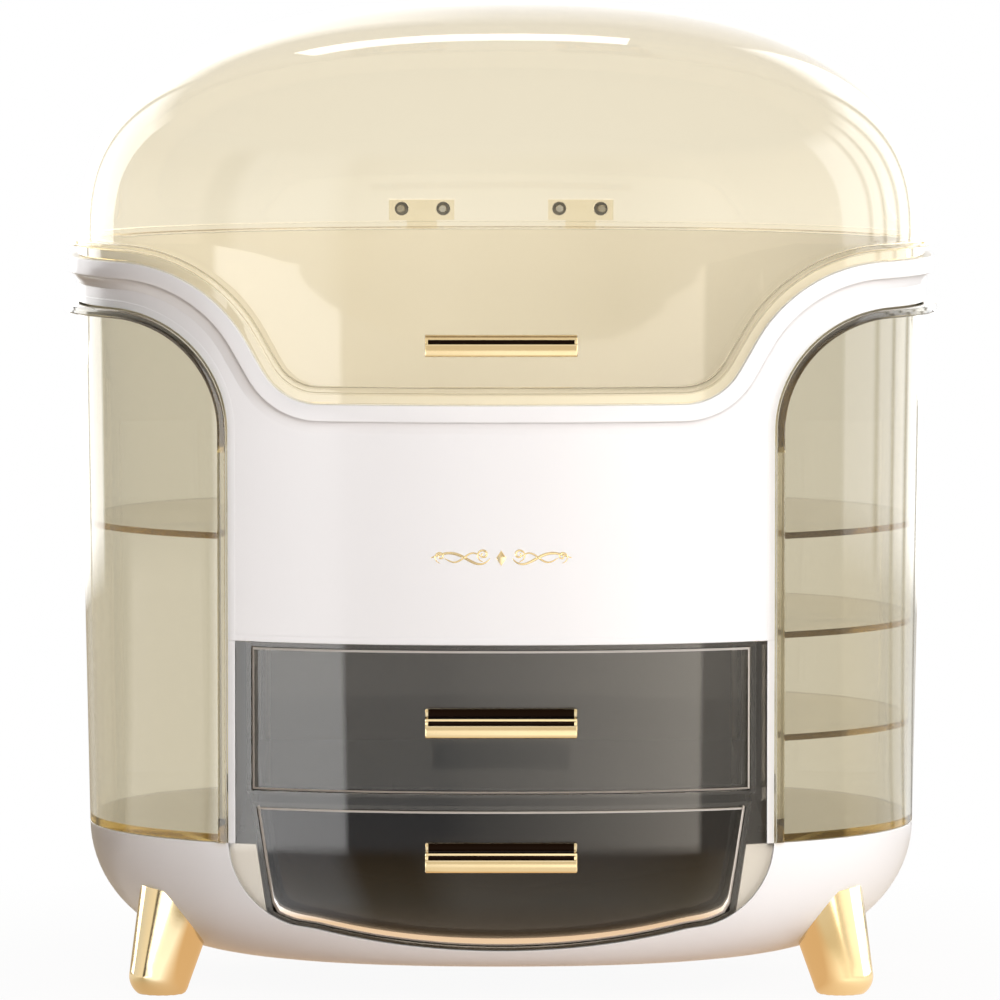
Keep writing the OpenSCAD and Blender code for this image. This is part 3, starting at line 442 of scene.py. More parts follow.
def case_wall():
    """The case's wall as one closed ring: up its outer face, out round the band, over the
    upstand and down the inner face to the lower edge again. Inside, the wall grows thinner
    downwards by half a cosine."""
    x, low, middle = case_columns()
    low, middle = mirrored_round(low, ARCH_TOP), mirrored_round(middle, ARCH_TOP)

    def rim(d):
        return all_round(rim_line(x, d), RIM + d)

    under_band = rim(-BAND_H)
    part = np.linspace(0, 1, 15)[:, None]
    faces = np.concatenate([blend(low, middle, part), blend(middle, under_band, part[1:])])
    band = quarter(-EDGE_R, -BAND_H + EDGE_R, EDGE_R, -90, 0) + quarter(-EDGE_R, -EDGE_R, EDGE_R, 0, 90)
    cut = UPSTAND_CHAMFER
    top = [(-UPSTAND_OUT, 0), (-UPSTAND_OUT, UPSTAND_H - cut), (-UPSTAND_OUT - cut, UPSTAND_H),
           (-UPSTAND_IN + cut, UPSTAND_H), (-UPSTAND_IN, UPSTAND_H - cut), (-UPSTAND_IN, -BAND_H)]
    rows = [(z, 0, 0) for z in faces]
    cove = [(1 - np.sin(a), -BAND_H - COVE_H * (1 - np.cos(a))) for a in np.radians(np.linspace(75, 10, 9))]
    rows = rows[:-1] + [(np.maximum(rim(d), middle + 0.5), BAND_W * out, BAND_D * out) for out, d in cove]
    rows += [(rim(d), BAND_W + out, BAND_D + out) for out, d in band]
    rows += [(rim(d), out, out) for out, d in top]
    grown = np.cos(np.pi * np.minimum(np.arange(len(faces)) / THICKER_ROWS, 1)) / 2 + 0.5
    inside = -WALL - (UPSTAND_IN - WALL) * grown
    rows += [(z, i, i) for z, i in zip(faces[::-1], inside)]
    rows.append(rows[0])
    return carried(rows, x), True, None


def vault_line(d, x_end):
    """Outline of the block's side from its foot, over the arch and out to the side, moved by d
    into the white case."""
    side = grid_of(PANEL - d, runs(BASE_TOP, 8, CASE_BOTTOM, 10, ARCH_Z))
    over = arc(ARCH_X, ARCH_Z, ARCH_R + d, 180, 90, 28)[1:]
    level = grid_of(runs(ARCH_X, 14, x_end)[1:], ARCH_TOP + d)
    return np.concatenate([side, over, level])


def across(line):
    """A surface that runs from the body's front face to its back face along an outline in X
    and Z, a hair inside the body."""
    x, z = line[:, :1], line[:, 1:]
    return grid_of(x, np.linspace(-1, 1, 29) * face_y(x, z, SEAM), z)


side_end = half_size(ARCH_TOP)[0] - SEAM
vault = shell(across(vault_line(0, side_end)), across(vault_line(WALL, side_end)))
tub_line = runs(-PANEL + 0.5, 24, PANEL - 0.5)
tub_floor = shell(*[across(grid_of(tub_line, z)) for z in (CASE_BOTTOM + TUB_FLOOR, CASE_BOTTOM)])
ear_z = BARREL_TOP + UPPER_EAR_GAP, BARREL_TOP + UPPER_EAR_TOP
upper_ears = [rod(s * PIVOT_X, PIVOT_Y, *ear_z, EAR_R) for s in (-1, 1)]
case_parts = [case_wall(), *vault, *mirror(vault), *tub_floor, *upper_ears]
case = solid("upper_case_shell", case_parts, "cabinet", ["upper_case"])
dress(white_abs, case)

# ---- White back panel -----------------------------------------------------------------------------
# A bowed ABS plate that closes the case behind the drawers, held by a screw at each corner. It
# follows the body's oval and fits between the case's side walls.

PANEL_IN = PANEL - WALL - FIT
panel_x, panel_z = np.meshgrid(runs(-PANEL_IN, 50, PANEL_IN), runs(BASE_TOP + FIT, 4, CASE_BOTTOM - FIT))
back_plate = [(grid * [1, -1, 1], wrap, kept) for grid, wrap, kept in bowed_plate(panel_x, panel_z, 0, WALL)]
back = solid("back_plate", back_plate, "cabinet", ["back_panel"])
dress(white_abs, back)

# ---- Gold feet -------------------------------------------------------------------------------------
# Four splayed feet, turned on a lathe's lines and vacuum metallised in gold: a rounded end, then a
# cone that widens into a socket of the base.

FOOT_X, FOOT_Y = BASE_W / 2 - 28.8, BASE_D / 2 - 60.5
FOOT_R, FOOT_TOP_R, FOOT_LEN, FOOT_ROUND, FOOT_LOW = 12.7, 16.4, 42.0, 9.0, -2.4
SPLAY, SPLAY_FORE = 13.5, 5.0


def foot(sx, sy):
    """A profile turned about the foot's own axis, leaned to its splay and cut flat on the floor."""
    tip = FOOT_R + (FOOT_TOP_R - FOOT_R) / FOOT_LEN * FOOT_LOW - FOOT_ROUND
    end = arc(tip, FOOT_LOW + FOOT_ROUND, FOOT_ROUND, -90, 0, 12)
    cone = [(FOOT_TOP_R, FOOT_LEN), (0, FOOT_LEN)]
    rise = blend(end[-1], np.array(cone[0]), runs(0, 8, 1)[1:, None])
    profile = np.concatenate([[(0, FOOT_LOW)], end, rise, cone[1:]])
    a = np.linspace(0, 2 * np.pi, 72, endpoint=False)
    r, up = profile[:, :1], profile[:, 1:]
    points = grid_of(r * np.cos(a), r * np.sin(a), up)
    lean = Matrix.Rotation(np.radians(-SPLAY_FORE), 3, "X") @ Matrix.Rotation(np.radians(-SPLAY), 3, "Y")
    points = (points @ np.array(lean).T + [FOOT_X, -FOOT_Y, 0]) * [sx, -sy, 1]
    points[..., 2] = np.maximum(points[..., 2], 0)
    return points, True, None


def metallised_gold():
    """Plastic with a vacuum-deposited gold film under clear lacquer: a true mirror-like metal,
    softened by the lacquer's fine orange peel."""
    mat = new_material("metallised_gold")
    rounded = add(mat, "Bevel", [("Radius", 0.0004), ("samples", 6)])
    peel = speckle(mat, 260, 2, (0.12, 0.00008), under=rounded)[1]
    haze, dull = speckle(mat, 35, 3, dull=(0.07, 0.15))
    tone = two_tone(mat, haze, "#EFDDB6", "#E8D2A4")
    # Faces marked by the attribute are painted near black: shade painted into the pulls' groove and finger
    # hollow.
    recess_shade = add(mat, "Attribute", [("attribute_name", "recess_shade")])
    shaded_recess_tone = add(mat, "Mix", [("data_type", "RGBA"), (7, linear("#1E130C"))],
                    [("Factor", recess_shade.outputs["Fac"]), (6, tone.outputs[2])])
    film = add(mat, "BsdfPrincipled", [("Metallic", 1.0)],
               [("Base Color", shaded_recess_tone.outputs[2]), ("Roughness", dull), ("Normal", peel.outputs[0])])
    return finish(mat, film)


gold = metallised_gold()
for sy, row in ((-1, "front"), (1, "rear")):
    for sx, side in ((-1, "left"), (1, "right")):
        made = solid(f"{row}_{side}_gold_foot", [foot(sx, sy)], "cabinet", [f"foot_{row}_{side}"])
        dress(gold, made)
dress(gold, "lid_hinge_base_left", "lid_hinge_base_right")

# ---- Clear dome lid --------------------------------------------------------------------------------
# One moulding in champagne-tinted clear plastic: a dome on the oval, whose wall dips at the front
# with the case's rim. A flange runs round its lower edge, over a skirt outside the case's upstand.

SKIRT_H, FLANGE_T, FLANGE_W, FLANGE_D = 4.7, 2.6, 4.0, 1.4
CLEAR_WALL = 2.4
LID_INSET = 1.5
SKIRT_OUT, SKIRT_T = 0.3, 1.5
SKIRT_FOOT, SKIRT_CHAMFER = 0.4, 0.2
DOME_H = 97.35
DOME_POWER = 2.5
DOME_Z = RIM + SKIRT_H + FLANGE_T


def lid_columns():
    """Angles round the lid from its left end by the front, closer together along the dip."""
    dip = angle_at(SHOULDER_X + 4, CASE_W / 2)
    flat = angle_at(DIP_HALF - 6, CASE_W / 2)
    right = runs(-np.pi / 2, 24, -flat, 44, -dip, 30, 0, 80, np.pi / 2)
    return np.concatenate([right, np.pi - right[-2:0:-1]])


def lid_rows(section, angle):
    """Rows of the lid's lower part, from (out at the side, out in front, up from the rim line). The
    height depends on x and x on the flare at that height, so three rounds settle both."""
    ux, uy = unit_oval(angle)
    grids = []
    for out_w, out_d, up in section:
        z = np.full(len(angle), RIM + up)
        for _ in range(3):
            half_w, half_d = half_size(z)
            x = (half_w + out_w) * ux
            z = np.where(uy < 0, rim_line(x, up), RIM + up)
        grids.append(grid_of(x, (half_d + out_d) * uy, z))
    return np.array(grids)


def dome_rows(inset, angle, foot):
    """Rows from the crown down to the foot: a dome on (r/R)^q + (z/H)^q = 1, then the wall below."""
    a = np.linspace(np.pi / 2, 0, 60)[:, None]
    half_w, half_d = half_size(DOME_Z, inset)
    r = np.cos(a) ** (2 / DOME_POWER)
    r[0] = 0
    z = DOME_Z + (DOME_H - inset + LID_INSET) * np.sin(a) ** (2 / DOME_POWER)
    dome = on_oval(half_w * r, half_d * r, angle, z)
    wall = blend(dome[-1], foot, np.linspace(0, 1, 10)[1:, None, None])
    return np.concatenate([dome, wall])


def lid_shell():
    """The lid's section carried round the oval: crown, wall, flange, skirt, and back up inside."""
    angle = lid_columns()
    top = SKIRT_H + FLANGE_T
    inset = LID_INSET + CLEAR_WALL
    foot = lid_rows([(-LID_INSET, -LID_INSET, top), (-inset, -inset, SKIRT_H)], angle)
    tip = quarter(-EDGE_R, top - EDGE_R, EDGE_R, 90, 0) + quarter(-EDGE_R, SKIRT_H + EDGE_R, EDGE_R, 0, -90)
    flange = lid_rows([(FLANGE_W + out, FLANGE_D + out, up) for out, up in tip], angle)
    near, far = SKIRT_OUT, SKIRT_OUT + SKIRT_T
    foot_top = SKIRT_FOOT + SKIRT_CHAMFER
    skirt = [(-near, SKIRT_H), (-near, foot_top), (-near - SKIRT_CHAMFER, SKIRT_FOOT),
             (-far + SKIRT_CHAMFER, SKIRT_FOOT), (-far, foot_top), (-far, SKIRT_H)]
    skirt = lid_rows([(out, out, up) for out, up in skirt], angle)
    outer = dome_rows(LID_INSET, angle, foot[0])
    inner = dome_rows(LID_INSET + CLEAR_WALL, angle, foot[1])
    return np.concatenate([outer, flange, skirt, inner[::-1]]), True, None


TRAPPED_AFTER = 3       # bounces


def clear_plastic(name, tint, share, wall, rough):
    """Polished clear styrene or SAN, tinted in the melt: it bends and mirrors light like glass.
    The tint is what one wall of this many millimetres lets through. A share of it is taken at the
    surfaces and the rest by depth, so that thick edges turn deeper but not black. Lamps pass
    through it, as they do through a thin clear wall, and so does light that a wall has trapped
    for several bounces."""
    mat = new_material(name)
    through = np.array(linear(tint)[:3])
    _, flow, dull = speckle(mat, 22, 2, (0.12, 0.0004), (rough * 0.5, rough * 1.5))
    body = add(mat, "BsdfPrincipled",
               [("IOR", 1.5), ("Transmission Weight", 1.0), ("Base Color", (*through ** (share / 2), 1))],
               [("Roughness", dull), ("Normal", flow.outputs[0])])
    lamp_tint = add(mat, "BsdfTransparent", [("Color", (*through**0.5, 1))])
    path = add(mat, "LightPath")
    trapped = add(mat, "Math", [("operation", "GREATER_THAN"), (1, TRAPPED_AFTER + 0.5)],
                  [(0, path.outputs["Glossy Depth"])])
    seen = add(mat, "MixShader",
               links=[(0, trapped.outputs[0]), (1, body.outputs[0]), (2, lamp_tint.outputs[0])])
    both = add(mat, "MixShader",
               links=[(0, path.outputs["Is Shadow Ray"]), (1, seen.outputs[0]), (2, lamp_tint.outputs[0])])
    taken = -np.log(through) * (1 - share) / (wall * MM)
    density = taken.max() * 1.25
    depth = add(mat, "VolumeAbsorption",
                [("Color", (*(1 - taken / density), 1)), ("Density", density)])
    return finish(mat, both, depth)


champagne = clear_plastic("clear_champagne_styrene", "#F4EAD1", 0.94, CLEAR_WALL, 0.02)
lid = solid("clear_dome", [lid_shell()], "lid", ["dome_lid"])
dress(champagne, lid, "lid_hinge_leaf_left", "lid_hinge_leaf_right")

# ---- Clear side cabinets ---------------------------------------------------------------------------
# A hollow shell in the lid's champagne plastic fills the space under each arch. It is open towards
# the white case, has a lip round its arched front edge, and turns on a barrel at the back. The
# cabinets and their shelves get a deeper tint than the lid's, as painted shade inside them.

DOOR_GAP = 0.7
DOOR_Z0 = BASE_TOP + 0.4
DOOR_FLOOR = 3.0
BARREL_R = 4.5
WINDOW_EDGE = 9.0
EDGE_ROWS, WINDOW_ROWS, WINDOW_COLUMNS, CAP_ROWS = 2, 30, 29, 5
LIP_H, LIP_W, LIP_D, LIP_BACK = 3.4, 5.6, 1.4, 80.0
NOTCH_Y = PIVOT_Y - BARREL_R


def door_rings(inset):
    """Rings of a side cabinet from its floor to its top. Each goes from the window's rear edge
    round the pivot's notch, along the oval to the front, and back along the straight side."""
    gap = DOOR_GAP + inset
    z = runs(DOOR_Z0 + (DOOR_FLOOR if inset else 0), EDGE_ROWS, DOOR_Z0 + WINDOW_EDGE, WINDOW_ROWS,
             ARCH_Z - WINDOW_EDGE, EDGE_ROWS, ARCH_Z)
    chord = np.full(len(z), PANEL + gap)
    over = arc(ARCH_X, ARCH_Z, ARCH_R - gap, 180, 90, 26)[1:]
    z, chord = np.append(z, over[:, 1])[:, None], np.append(chord, over[:, 0])[:, None]
    half_w, half_d = half_size(z, inset)
    notch_x = np.maximum(chord, PIVOT_X + inset)
    notch_y = np.minimum(NOTCH_Y - inset, oval_y(chord, half_w, half_d))
    front_y = -oval_y(chord, half_w, half_d)
    window_y = [np.clip(y, front_y, notch_y) for y in (WINDOW_FRONT, WINDOW_BACK)]
    part = np.linspace(0, 1, 5)
    behind = grid_of(chord, blend(window_y[1], notch_y, part), z)
    step = grid_of(blend(chord, notch_x, part), notch_y, z)
    corner = grid_of(notch_x, blend(notch_y, oval_y(notch_x, half_w, half_d), part), z)
    start, end = angle_at(notch_x, half_w), angle_at(chord, half_w)
    side = on_oval(half_w, half_d, blend(start, -end, np.linspace(0, 1, 90)), z)
    before = grid_of(chord, blend(front_y, window_y[0], part), z)
    across_window = np.linspace(0, 1, WINDOW_COLUMNS + 1)[1:-1]
    window = grid_of(chord, blend(*window_y, across_window), z)
    return np.concatenate([behind, step[:, 1:], corner[:, 1:], side[:, 1:], before[:, 1:], window], axis=1)


WINDOW_FRONT = -face_y(PANEL, BASE_TOP) + WINDOW_EDGE
WINDOW_BACK = NOTCH_Y - WINDOW_EDGE


def door_shell():
    """The cabinet's wall between two sets of rings, each closed by a flat floor and top."""
    outer, inner = door_rings(0), door_rings(CLEAR_WALL)
    capped = [np.concatenate([shrink(r[0], CAP_ROWS)[::-1], r, shrink(r[-1])]) for r in (outer, inner)]
    first_row, last_column = CAP_ROWS + EDGE_ROWS, outer.shape[1]
    return shell(*capped, wrap=True,
                 hole=(first_row, first_row + WINDOW_ROWS, last_column - WINDOW_COLUMNS, last_column))


def door_lip():
    """A strip carried up the cabinet's front edge, over the arch and round its side, with
    rounded outer corners and closed ends."""
    section = [(DOOR_GAP, SEAM, SEAM)]
    corners = quarter(-EDGE_R, EDGE_R, EDGE_R, -90, 0) + quarter(-EDGE_R, LIP_H - EDGE_R, EDGE_R, 0, 90)
    for out, along in corners:
        section.append((DOOR_GAP + along, LIP_W + out, LIP_D + out))
    section += [(DOOR_GAP + LIP_H, SEAM, SEAM), section[0]]
    rows = []
    for d, out_w, out_d in section:
        up = grid_of(PANEL + d, runs(DOOR_Z0, 20, ARCH_Z))
        line = np.concatenate([up, arc(ARCH_X, ARCH_Z, ARCH_R - d, 180, 90, 36)[1:]])
        half_w, half_d = half_size(line[:, 1])
        front = grid_of(line[:, 0], -oval_y(line[:, 0], half_w + out_w, half_d + out_d), line[:, 1])
        half_w, half_d = half_size(ARCH_TOP - d)
        start = -angle_at(ARCH_X, half_w + out_w)
        end = np.arcsin((LIP_BACK / (half_d + out_d)) ** (POWER / 2))
        side = on_oval(half_w + out_w, half_d + out_d, np.linspace(start, end, 60)[1:], ARCH_TOP - d)
        rows.append(np.concatenate([front, side]))
    rows = np.array(rows)
    ends = [np.broadcast_to(rows[:-1, j].mean(axis=0), rows[:, :1].shape) for j in (0, -1)]
    return np.concatenate([ends[0], rows, ends[1]], axis=1), False, None


def shelf(z):
    """A flat plate that fills the cabinet's plan a little inside its wall."""
    half_w, half_d = half_size(z, CLEAR_WALL + FIT)
    chord = PANEL + DOOR_GAP + CLEAR_WALL + FIT
    end = angle_at(chord, half_w)
    ring = on_oval(half_w, half_d, np.linspace(-end, end, 90), z)
    straight = np.linspace(ring[-1, 1], ring[0, 1], 24)[1:-1]
    ring = np.concatenate([ring, grid_of(chord, straight, z)])
    upper = ring + [0, 0, SHELF_T]
    return np.concatenate([shrink(ring)[::-1], [ring, upper], shrink(upper)]), True, None


SHELF_T = 2.6
UPPER_SHELF, MIDDLE_SHELF, LOWER_SHELF = 190.0, 149.5, 107.5
# Darker than the lid's champagne: the deeper tint is painted shade inside the side cabinets.
cabinet_shade_champagne = clear_plastic("champagne_styrene_painted_shade", "#CFC6AD", 0.94, CLEAR_WALL, 0.02)
barrel = rod(PIVOT_X, PIVOT_Y, DOOR_Z0, BARREL_TOP, BARREL_R - 0.05)
door_parts = [*door_shell(), door_lip(), barrel]
for side, name, grids, node in (
        ("right", "right_clear_cabinet", door_parts, "right_door_shell"),
        ("left", "left_clear_cabinet", mirror(door_parts), "left_door_shell"),
        ("right", "right_clear_shelf_upper", [shelf(UPPER_SHELF)], "right_shelf_upper"),
        ("right", "right_clear_shelf_middle", [shelf(MIDDLE_SHELF)], "right_shelf_middle"),
        ("right", "right_clear_shelf_lower", [shelf(LOWER_SHELF)], "right_shelf_lower"),
        ("left", "left_clear_shelf", mirror([shelf(UPPER_SHELF)]), "left_door_shelf")):
    dress(cabinet_shade_champagne, solid(name, grids, f"{side}_side_cabinet", [node]))

# ---- Smoked drawers ----------------------------------------------------------------------------------
# Two trays in smoked clear plastic, each a bowed front, a trough that runs back from it and a rear
# wall. The lower one has tapered sides and the hanging belly of the base's opening. Trough and rear
# wall are in a much darker smoke than the front, as painted shade inside the drawers.

DRAWER_WALL = 2.2
UPPER_HALF, UPPER_BOTTOM, UPPER_TOP = 101.0, 88.6, 146.6
LOWER_INSET = 2.35      # the lower drawer's outline inside the base's opening
DRAWER_BACK, SIDE_DROP = 78.0, 8.0
BEVEL = 0.9
HAIR = 0.01             # tolerance by which faces are picked


def even(line, steps):
    """The same line with points at even distances along it."""
    along = np.concatenate([[0], np.cumsum(np.hypot(*np.diff(line, axis=0).T))])
    at = np.linspace(0, along[-1], steps + 1)
    return grid_of(*[np.interp(at, along, line[:, k]) for k in (0, 1)])


def both_halves(line):
    """A line from the middle to the right, with its mirror image before it."""
    return np.concatenate([line[:0:-1] * [-1, 1], line])


def upper_line(grow, top):
    """Right half of the upper drawer's outline: half its foot, then one side up to a height."""
    x, z = UPPER_HALF + grow, UPPER_BOTTOM - grow
    return np.array([(0, z), (x, z), (x, top)])


def lower_line(grow, top):
    """Right half of the lower drawer's outline: the opening's curve, then a tapered side."""
    curve = opening_line(LOWER_INSET - grow, 60)
    side = LOWER_HALF + grow - TAPER * (LOWER_TOP - curve[:, 1])
    return np.concatenate([curve[curve[:, 0] < side], [(LOWER_HALF + grow - TAPER * (LOWER_TOP - top), top)]])


def bevelled_plate(x, z, x_in, z_in, inset, thickness):
    """A plate on the body's front face whose front edges are bevelled: the face over the inner
    grid, a slope out to the outer grid, the edge and the back."""
    face = grid_of(x_in, -face_y(x_in, z_in, inset), z_in)
    step, back = [grid_of(x, -face_y(x, z, i), z) for i in (inset + BEVEL, inset + thickness)]
    strips = [np.stack([g[k] for g in (face, step, back)]) for k in (0, -1)]
    strips += [np.stack([g[:, k] for g in (face, step, back)]) for k in (0, -1)]
    return [(grid, False, None) for grid in (face, back, *strips)]


def drawer(line, half, top, columns):
    """Front, trough and rear wall of a drawer. The front's lower edge and the trough's section
    both follow the drawer's outline."""
    edge = line(0, top)
    x, rise = np.meshgrid(columns, np.linspace(0, 1, 12))
    low = np.full(x.shape, UPPER_BOTTOM)
    if line is lower_line:
        low = np.interp(np.abs(x), edge[:, 0], edge[:, 1])
    z = blend(low, top, rise)
    x_in = x * (1 - BEVEL / half)
    z_in = blend(low + BEVEL, top - BEVEL, rise)
    front = bevelled_plate(x, z, x_in, z_in, FACE_INSET, FRONT_T)
    side_top = top - SIDE_DROP
    walls = []
    for grow in (0, -DRAWER_WALL):
        section = both_halves(even(line(grow, side_top), 60))
        sx, sz = section[:, :1], section[:, 1:]
        start = -face_y(sx, sz, FACE_INSET + FRONT_T) + SEAM
        walls.append(grid_of(sx, blend(start, DRAWER_BACK, np.linspace(0, 1, 16)), sz))
    inner = walls[1][:, -1]
    rise = np.linspace(0, 1, 10)[:, None, None]
    rear = inner * [1, 0, 1] + (side_top - inner[:, 2:]) * rise * [0, 0, 1]
    middle = np.abs(rear[..., 0]) < half - DRAWER_WALL - SEAM
    keep = middle.all(axis=0)
    rear = rear[:, keep] + [0, DRAWER_BACK, SEAM]
    return [*front, *shell(*walls), *shell(rear, rear - [0, DRAWER_WALL, 0])]


def windowed_plate(flats, inset, thickness):
    """A plate on the body's front face from flat grids of X and Z that meet each other. An edge
    that only one face has gets a rim, from the face to the back."""
    quads = quads_of(flats)
    flat = np.concatenate([grid.reshape(-1, 2) for grid, _, _ in flats])
    _, same = np.unique(np.round(flat, 3), axis=0, return_inverse=True)
    sides = np.stack([quads, np.roll(quads, -1, axis=1)], axis=-1).reshape(-1, 2)
    named = np.sort(same.ravel()[sides], axis=1)
    sides, named = sides[named[:, 0] != named[:, 1]], named[named[:, 0] != named[:, 1]]
    _, first, count = np.unique(named, axis=0, return_index=True, return_counts=True)
    rim, n = sides[first[count == 1]], len(flat)
    x, z = flat.T
    points = np.concatenate([grid_of(x, -face_y(x, z, i), z) for i in (inset, inset + thickness)])
    return points, np.concatenate([quads, quads + n, np.hstack([rim, rim[:, ::-1] + n])])


HOUSING_BACK = 80.5
FRAME_TOP = CASE_BOTTOM - FIT
FRAME_HALF = PANEL - WALL - HOUSING_GAP


def front_frame():
    """Flat grids of the housing's frame. Columns run from the opening's curve, round the lower
    drawer, over the divider and round the upper drawer to the top."""
    opening = opening_line(HOUSING_GAP, 60)
    window = lower_line(SLIDE_GAP, LOWER_TOP)
    low_half, top_half = window[-1, 0], UPPER_HALF + SLIDE_GAP
    right = runs(0, 14, 74, 12, window[-2, 0], 8, low_half, 1, top_half, 3, FRAME_HALF)
    x = np.concatenate([-right[:0:-1], right])
    side = np.abs(x)
    foot = np.interp(side, *opening.T)
    sill = np.where(side <= low_half, np.interp(side, *window.T),
                    np.interp(side, [low_half, FRAME_HALF], [window[-1, 1], BASE_TOP]))
    middles = np.abs(x[1:] + x[:-1]) / 2
    stops = [(sill, 12, 0), (window[-1, 1], 1, low_half), (UPPER_BOTTOM - SLIDE_GAP, 3, 0),
             (UPPER_TOP + SLIDE_GAP, 6, top_half), (FRAME_TOP, 2, 0)]
    rows, kept = [foot[None]], []
    for stop, steps, window_half in stops:
        last = rows[-1][-1]
        rows.append(blend(last, stop, np.linspace(0, 1, steps + 1)[1:, None]))
        kept.append(np.broadcast_to(middles > window_half - HAIR, (steps, len(x) - 1)))
    z = np.concatenate(rows)
    flats = [(grid_of(x, z), False, np.concatenate(kept))]
    wing_x = np.linspace(FRAME_HALF, opening[-1, 0], 4)
    wing_foot = np.interp(wing_x, *opening.T)
    wing_z = blend(wing_foot, BASE_TOP, np.linspace(0, 1, 13)[:, None])
    wing = grid_of(wing_x, wing_z)
    return flats + [(wing * [s, 1], False, None) for s in (1, -1)]


def sleeve(line, top):
    """The box that a drawer runs in: a ring round the drawer's outline, carried from the frame to
    the back and closed there."""
    walls = []
    for grow, end in ((SLIDE_GAP + HOUSING_WALL, HOUSING_BACK), (SLIDE_GAP, DRAWER_BACK + SLIDE_GAP)):
        around = both_halves(even(line(grow, top + grow), 70))
        over = grid_of(np.linspace(around[-1, 0], around[0, 0], 50)[1:-1], top + grow)
        ring = np.concatenate([around, over])
        x, z = ring.T
        start = -face_y(x, z, FACE_INSET + FRONT_T) + SEAM
        tube = grid_of(x, blend(start, end, np.linspace(0, 1, 16)[:, None]), z)
        walls.append(np.concatenate([tube, shrink(tube[-1])]))
    return shell(*walls, wrap=True)


def face_centres(ob):
    """Middles of a piece's faces in millimetres, as X, Y and Z."""
    centre = np.empty(len(ob.data.polygons) * 3)
    ob.data.polygons.foreach_get("center", centre)
    return (centre.reshape(-1, 3) / MM).T


def over_faces(ob, take, measure):
    """A measure of a piece's points in millimetres, taken over each face's corners by a ufunc."""
    mesh = ob.data
    place = np.empty(len(mesh.vertices) * 3)
    mesh.vertices.foreach_get("co", place)
    corner = np.empty(len(mesh.loops), np.int32)
    mesh.loops.foreach_get("vertex_index", corner)
    start = np.empty(len(mesh.polygons), np.int32)
    mesh.polygons.foreach_get("loop_start", start)
    return take.reduceat(measure(*(place.reshape(-1, 3) / MM).T)[corner], start)


def behind(inset):
    """How far points lie behind the surface that is this far inside the body's face."""
    return lambda x, y, z: y + face_y(x, z, inset)


def dress_faces(ob, mat, chosen):
    """Gives one more material to some of a piece's faces."""
    ob.data.materials.append(mat)
    used = np.zeros(len(ob.data.polygons), int)
    ob.data.polygons.foreach_get("material_index", used)
    used[chosen] = len(ob.data.materials) - 1
    ob.data.polygons.foreach_set("material_index", used)


def ground_edge():
    """The drawers' bevelled edges, ground on a wheel: frosted, so that they catch light from all
    round as thin pale lines, with fine grinding marks."""
    mat = new_material("ground_styrene_edge")
    _, marks, dull = speckle(mat, 1200, 3, (0.3, 0.00003), (0.6, 0.8))
    frost = add(mat, "BsdfPrincipled",
                [("IOR", 1.5), ("Transmission Weight", 0.25), ("Base Color", linear("#DDD6CE"))],
                [("Roughness", dull), ("Normal", marks.outputs[0])])
    return finish(mat, frost)


light_smoke = clear_plastic("smoked_clear_styrene", "#EAE2D5", 0.9, FRONT_T, 0.02)
# A much darker smoke than the fronts': painted shade for the drawers' troughs and rear walls.
trough_shade_smoke = clear_plastic("smoked_styrene_painted_shade", "#6B6762", 0.9, DRAWER_WALL, 0.03)
frosted = ground_edge()
frame_points, frame_faces = windowed_plate(front_frame(), FACE_INSET, FRONT_T)
sleeves = sleeve(upper_line, UPPER_TOP) + sleeve(lower_line, LOWER_TOP)
sleeve_points = np.concatenate([grid.reshape(-1, 3) for grid, _, _ in sleeves])
housing = join("smoked_drawer_housing", np.concatenate([frame_points, sleeve_points]),
               np.concatenate([frame_faces, quads_of(sleeves) + len(frame_points)]),
               "cabinet", ["drawer_housing"])
upper_columns = runs(-UPPER_HALF, 70, UPPER_HALF)
upper = solid("upper_smoked_drawer", drawer(upper_line, UPPER_HALF, UPPER_TOP, upper_columns),
              "upper_drawer", ["upper_drawer_tray"])
lower_columns = runs(-LOWER_HALF, 24, -LOWER_FOOT, 12, -LOWER_FOOT + 26, 50,
                     LOWER_FOOT - 26, 12, LOWER_FOOT, 24, LOWER_HALF)
lower = solid("lower_smoked_drawer", drawer(lower_line, LOWER_HALF, LOWER_TOP, lower_columns),
              "lower_drawer", ["lower_drawer_tray"])
for piece in (upper, lower, housing):
    foremost = over_faces(piece, np.minimum, behind(FACE_INSET))
    deepest, from_bevel = [over_faces(piece, np.maximum, behind(FACE_INSET + d)) for d in (FRONT_T, BEVEL)]
    # Troughs and rear walls take the darker smoke as painted shade inside the drawers; fronts and housing
    # take the light smoke.
    dress(light_smoke if piece is housing else trough_shade_smoke, piece)
    dress_faces(piece, light_smoke, deepest < SEAM / 2)
    dress_faces(piece, frosted, (foremost < SEAM) & (np.abs(from_bevel) < SEAM))

# ---- Gold handles ----------------------------------------------------------------------------------
# Three pulls in metallised plastic: a flat bar with a thin lip over it and a groove between them,
# closed by a cheek at each end. The drawers' pulls have a finger hollow above. Groove and hollow are painted
# near black as shade.

HANDLE_W, HANDLE_D, GRIP_H, CHEEK = 61.4, 9.0, 5.2, 1.2
PLATE, GROOVE_BACK, LIP_TOP, LIP_Z, LIP_Y = 2.0, 4.8, 1.0, 6.7, 6.0
TOUCH = 0.03            # gap between a pull and its front
BAR_FOOT_R, BAR_TOP_R, END_CHAMFER = 1.2, 0.7, 0.3


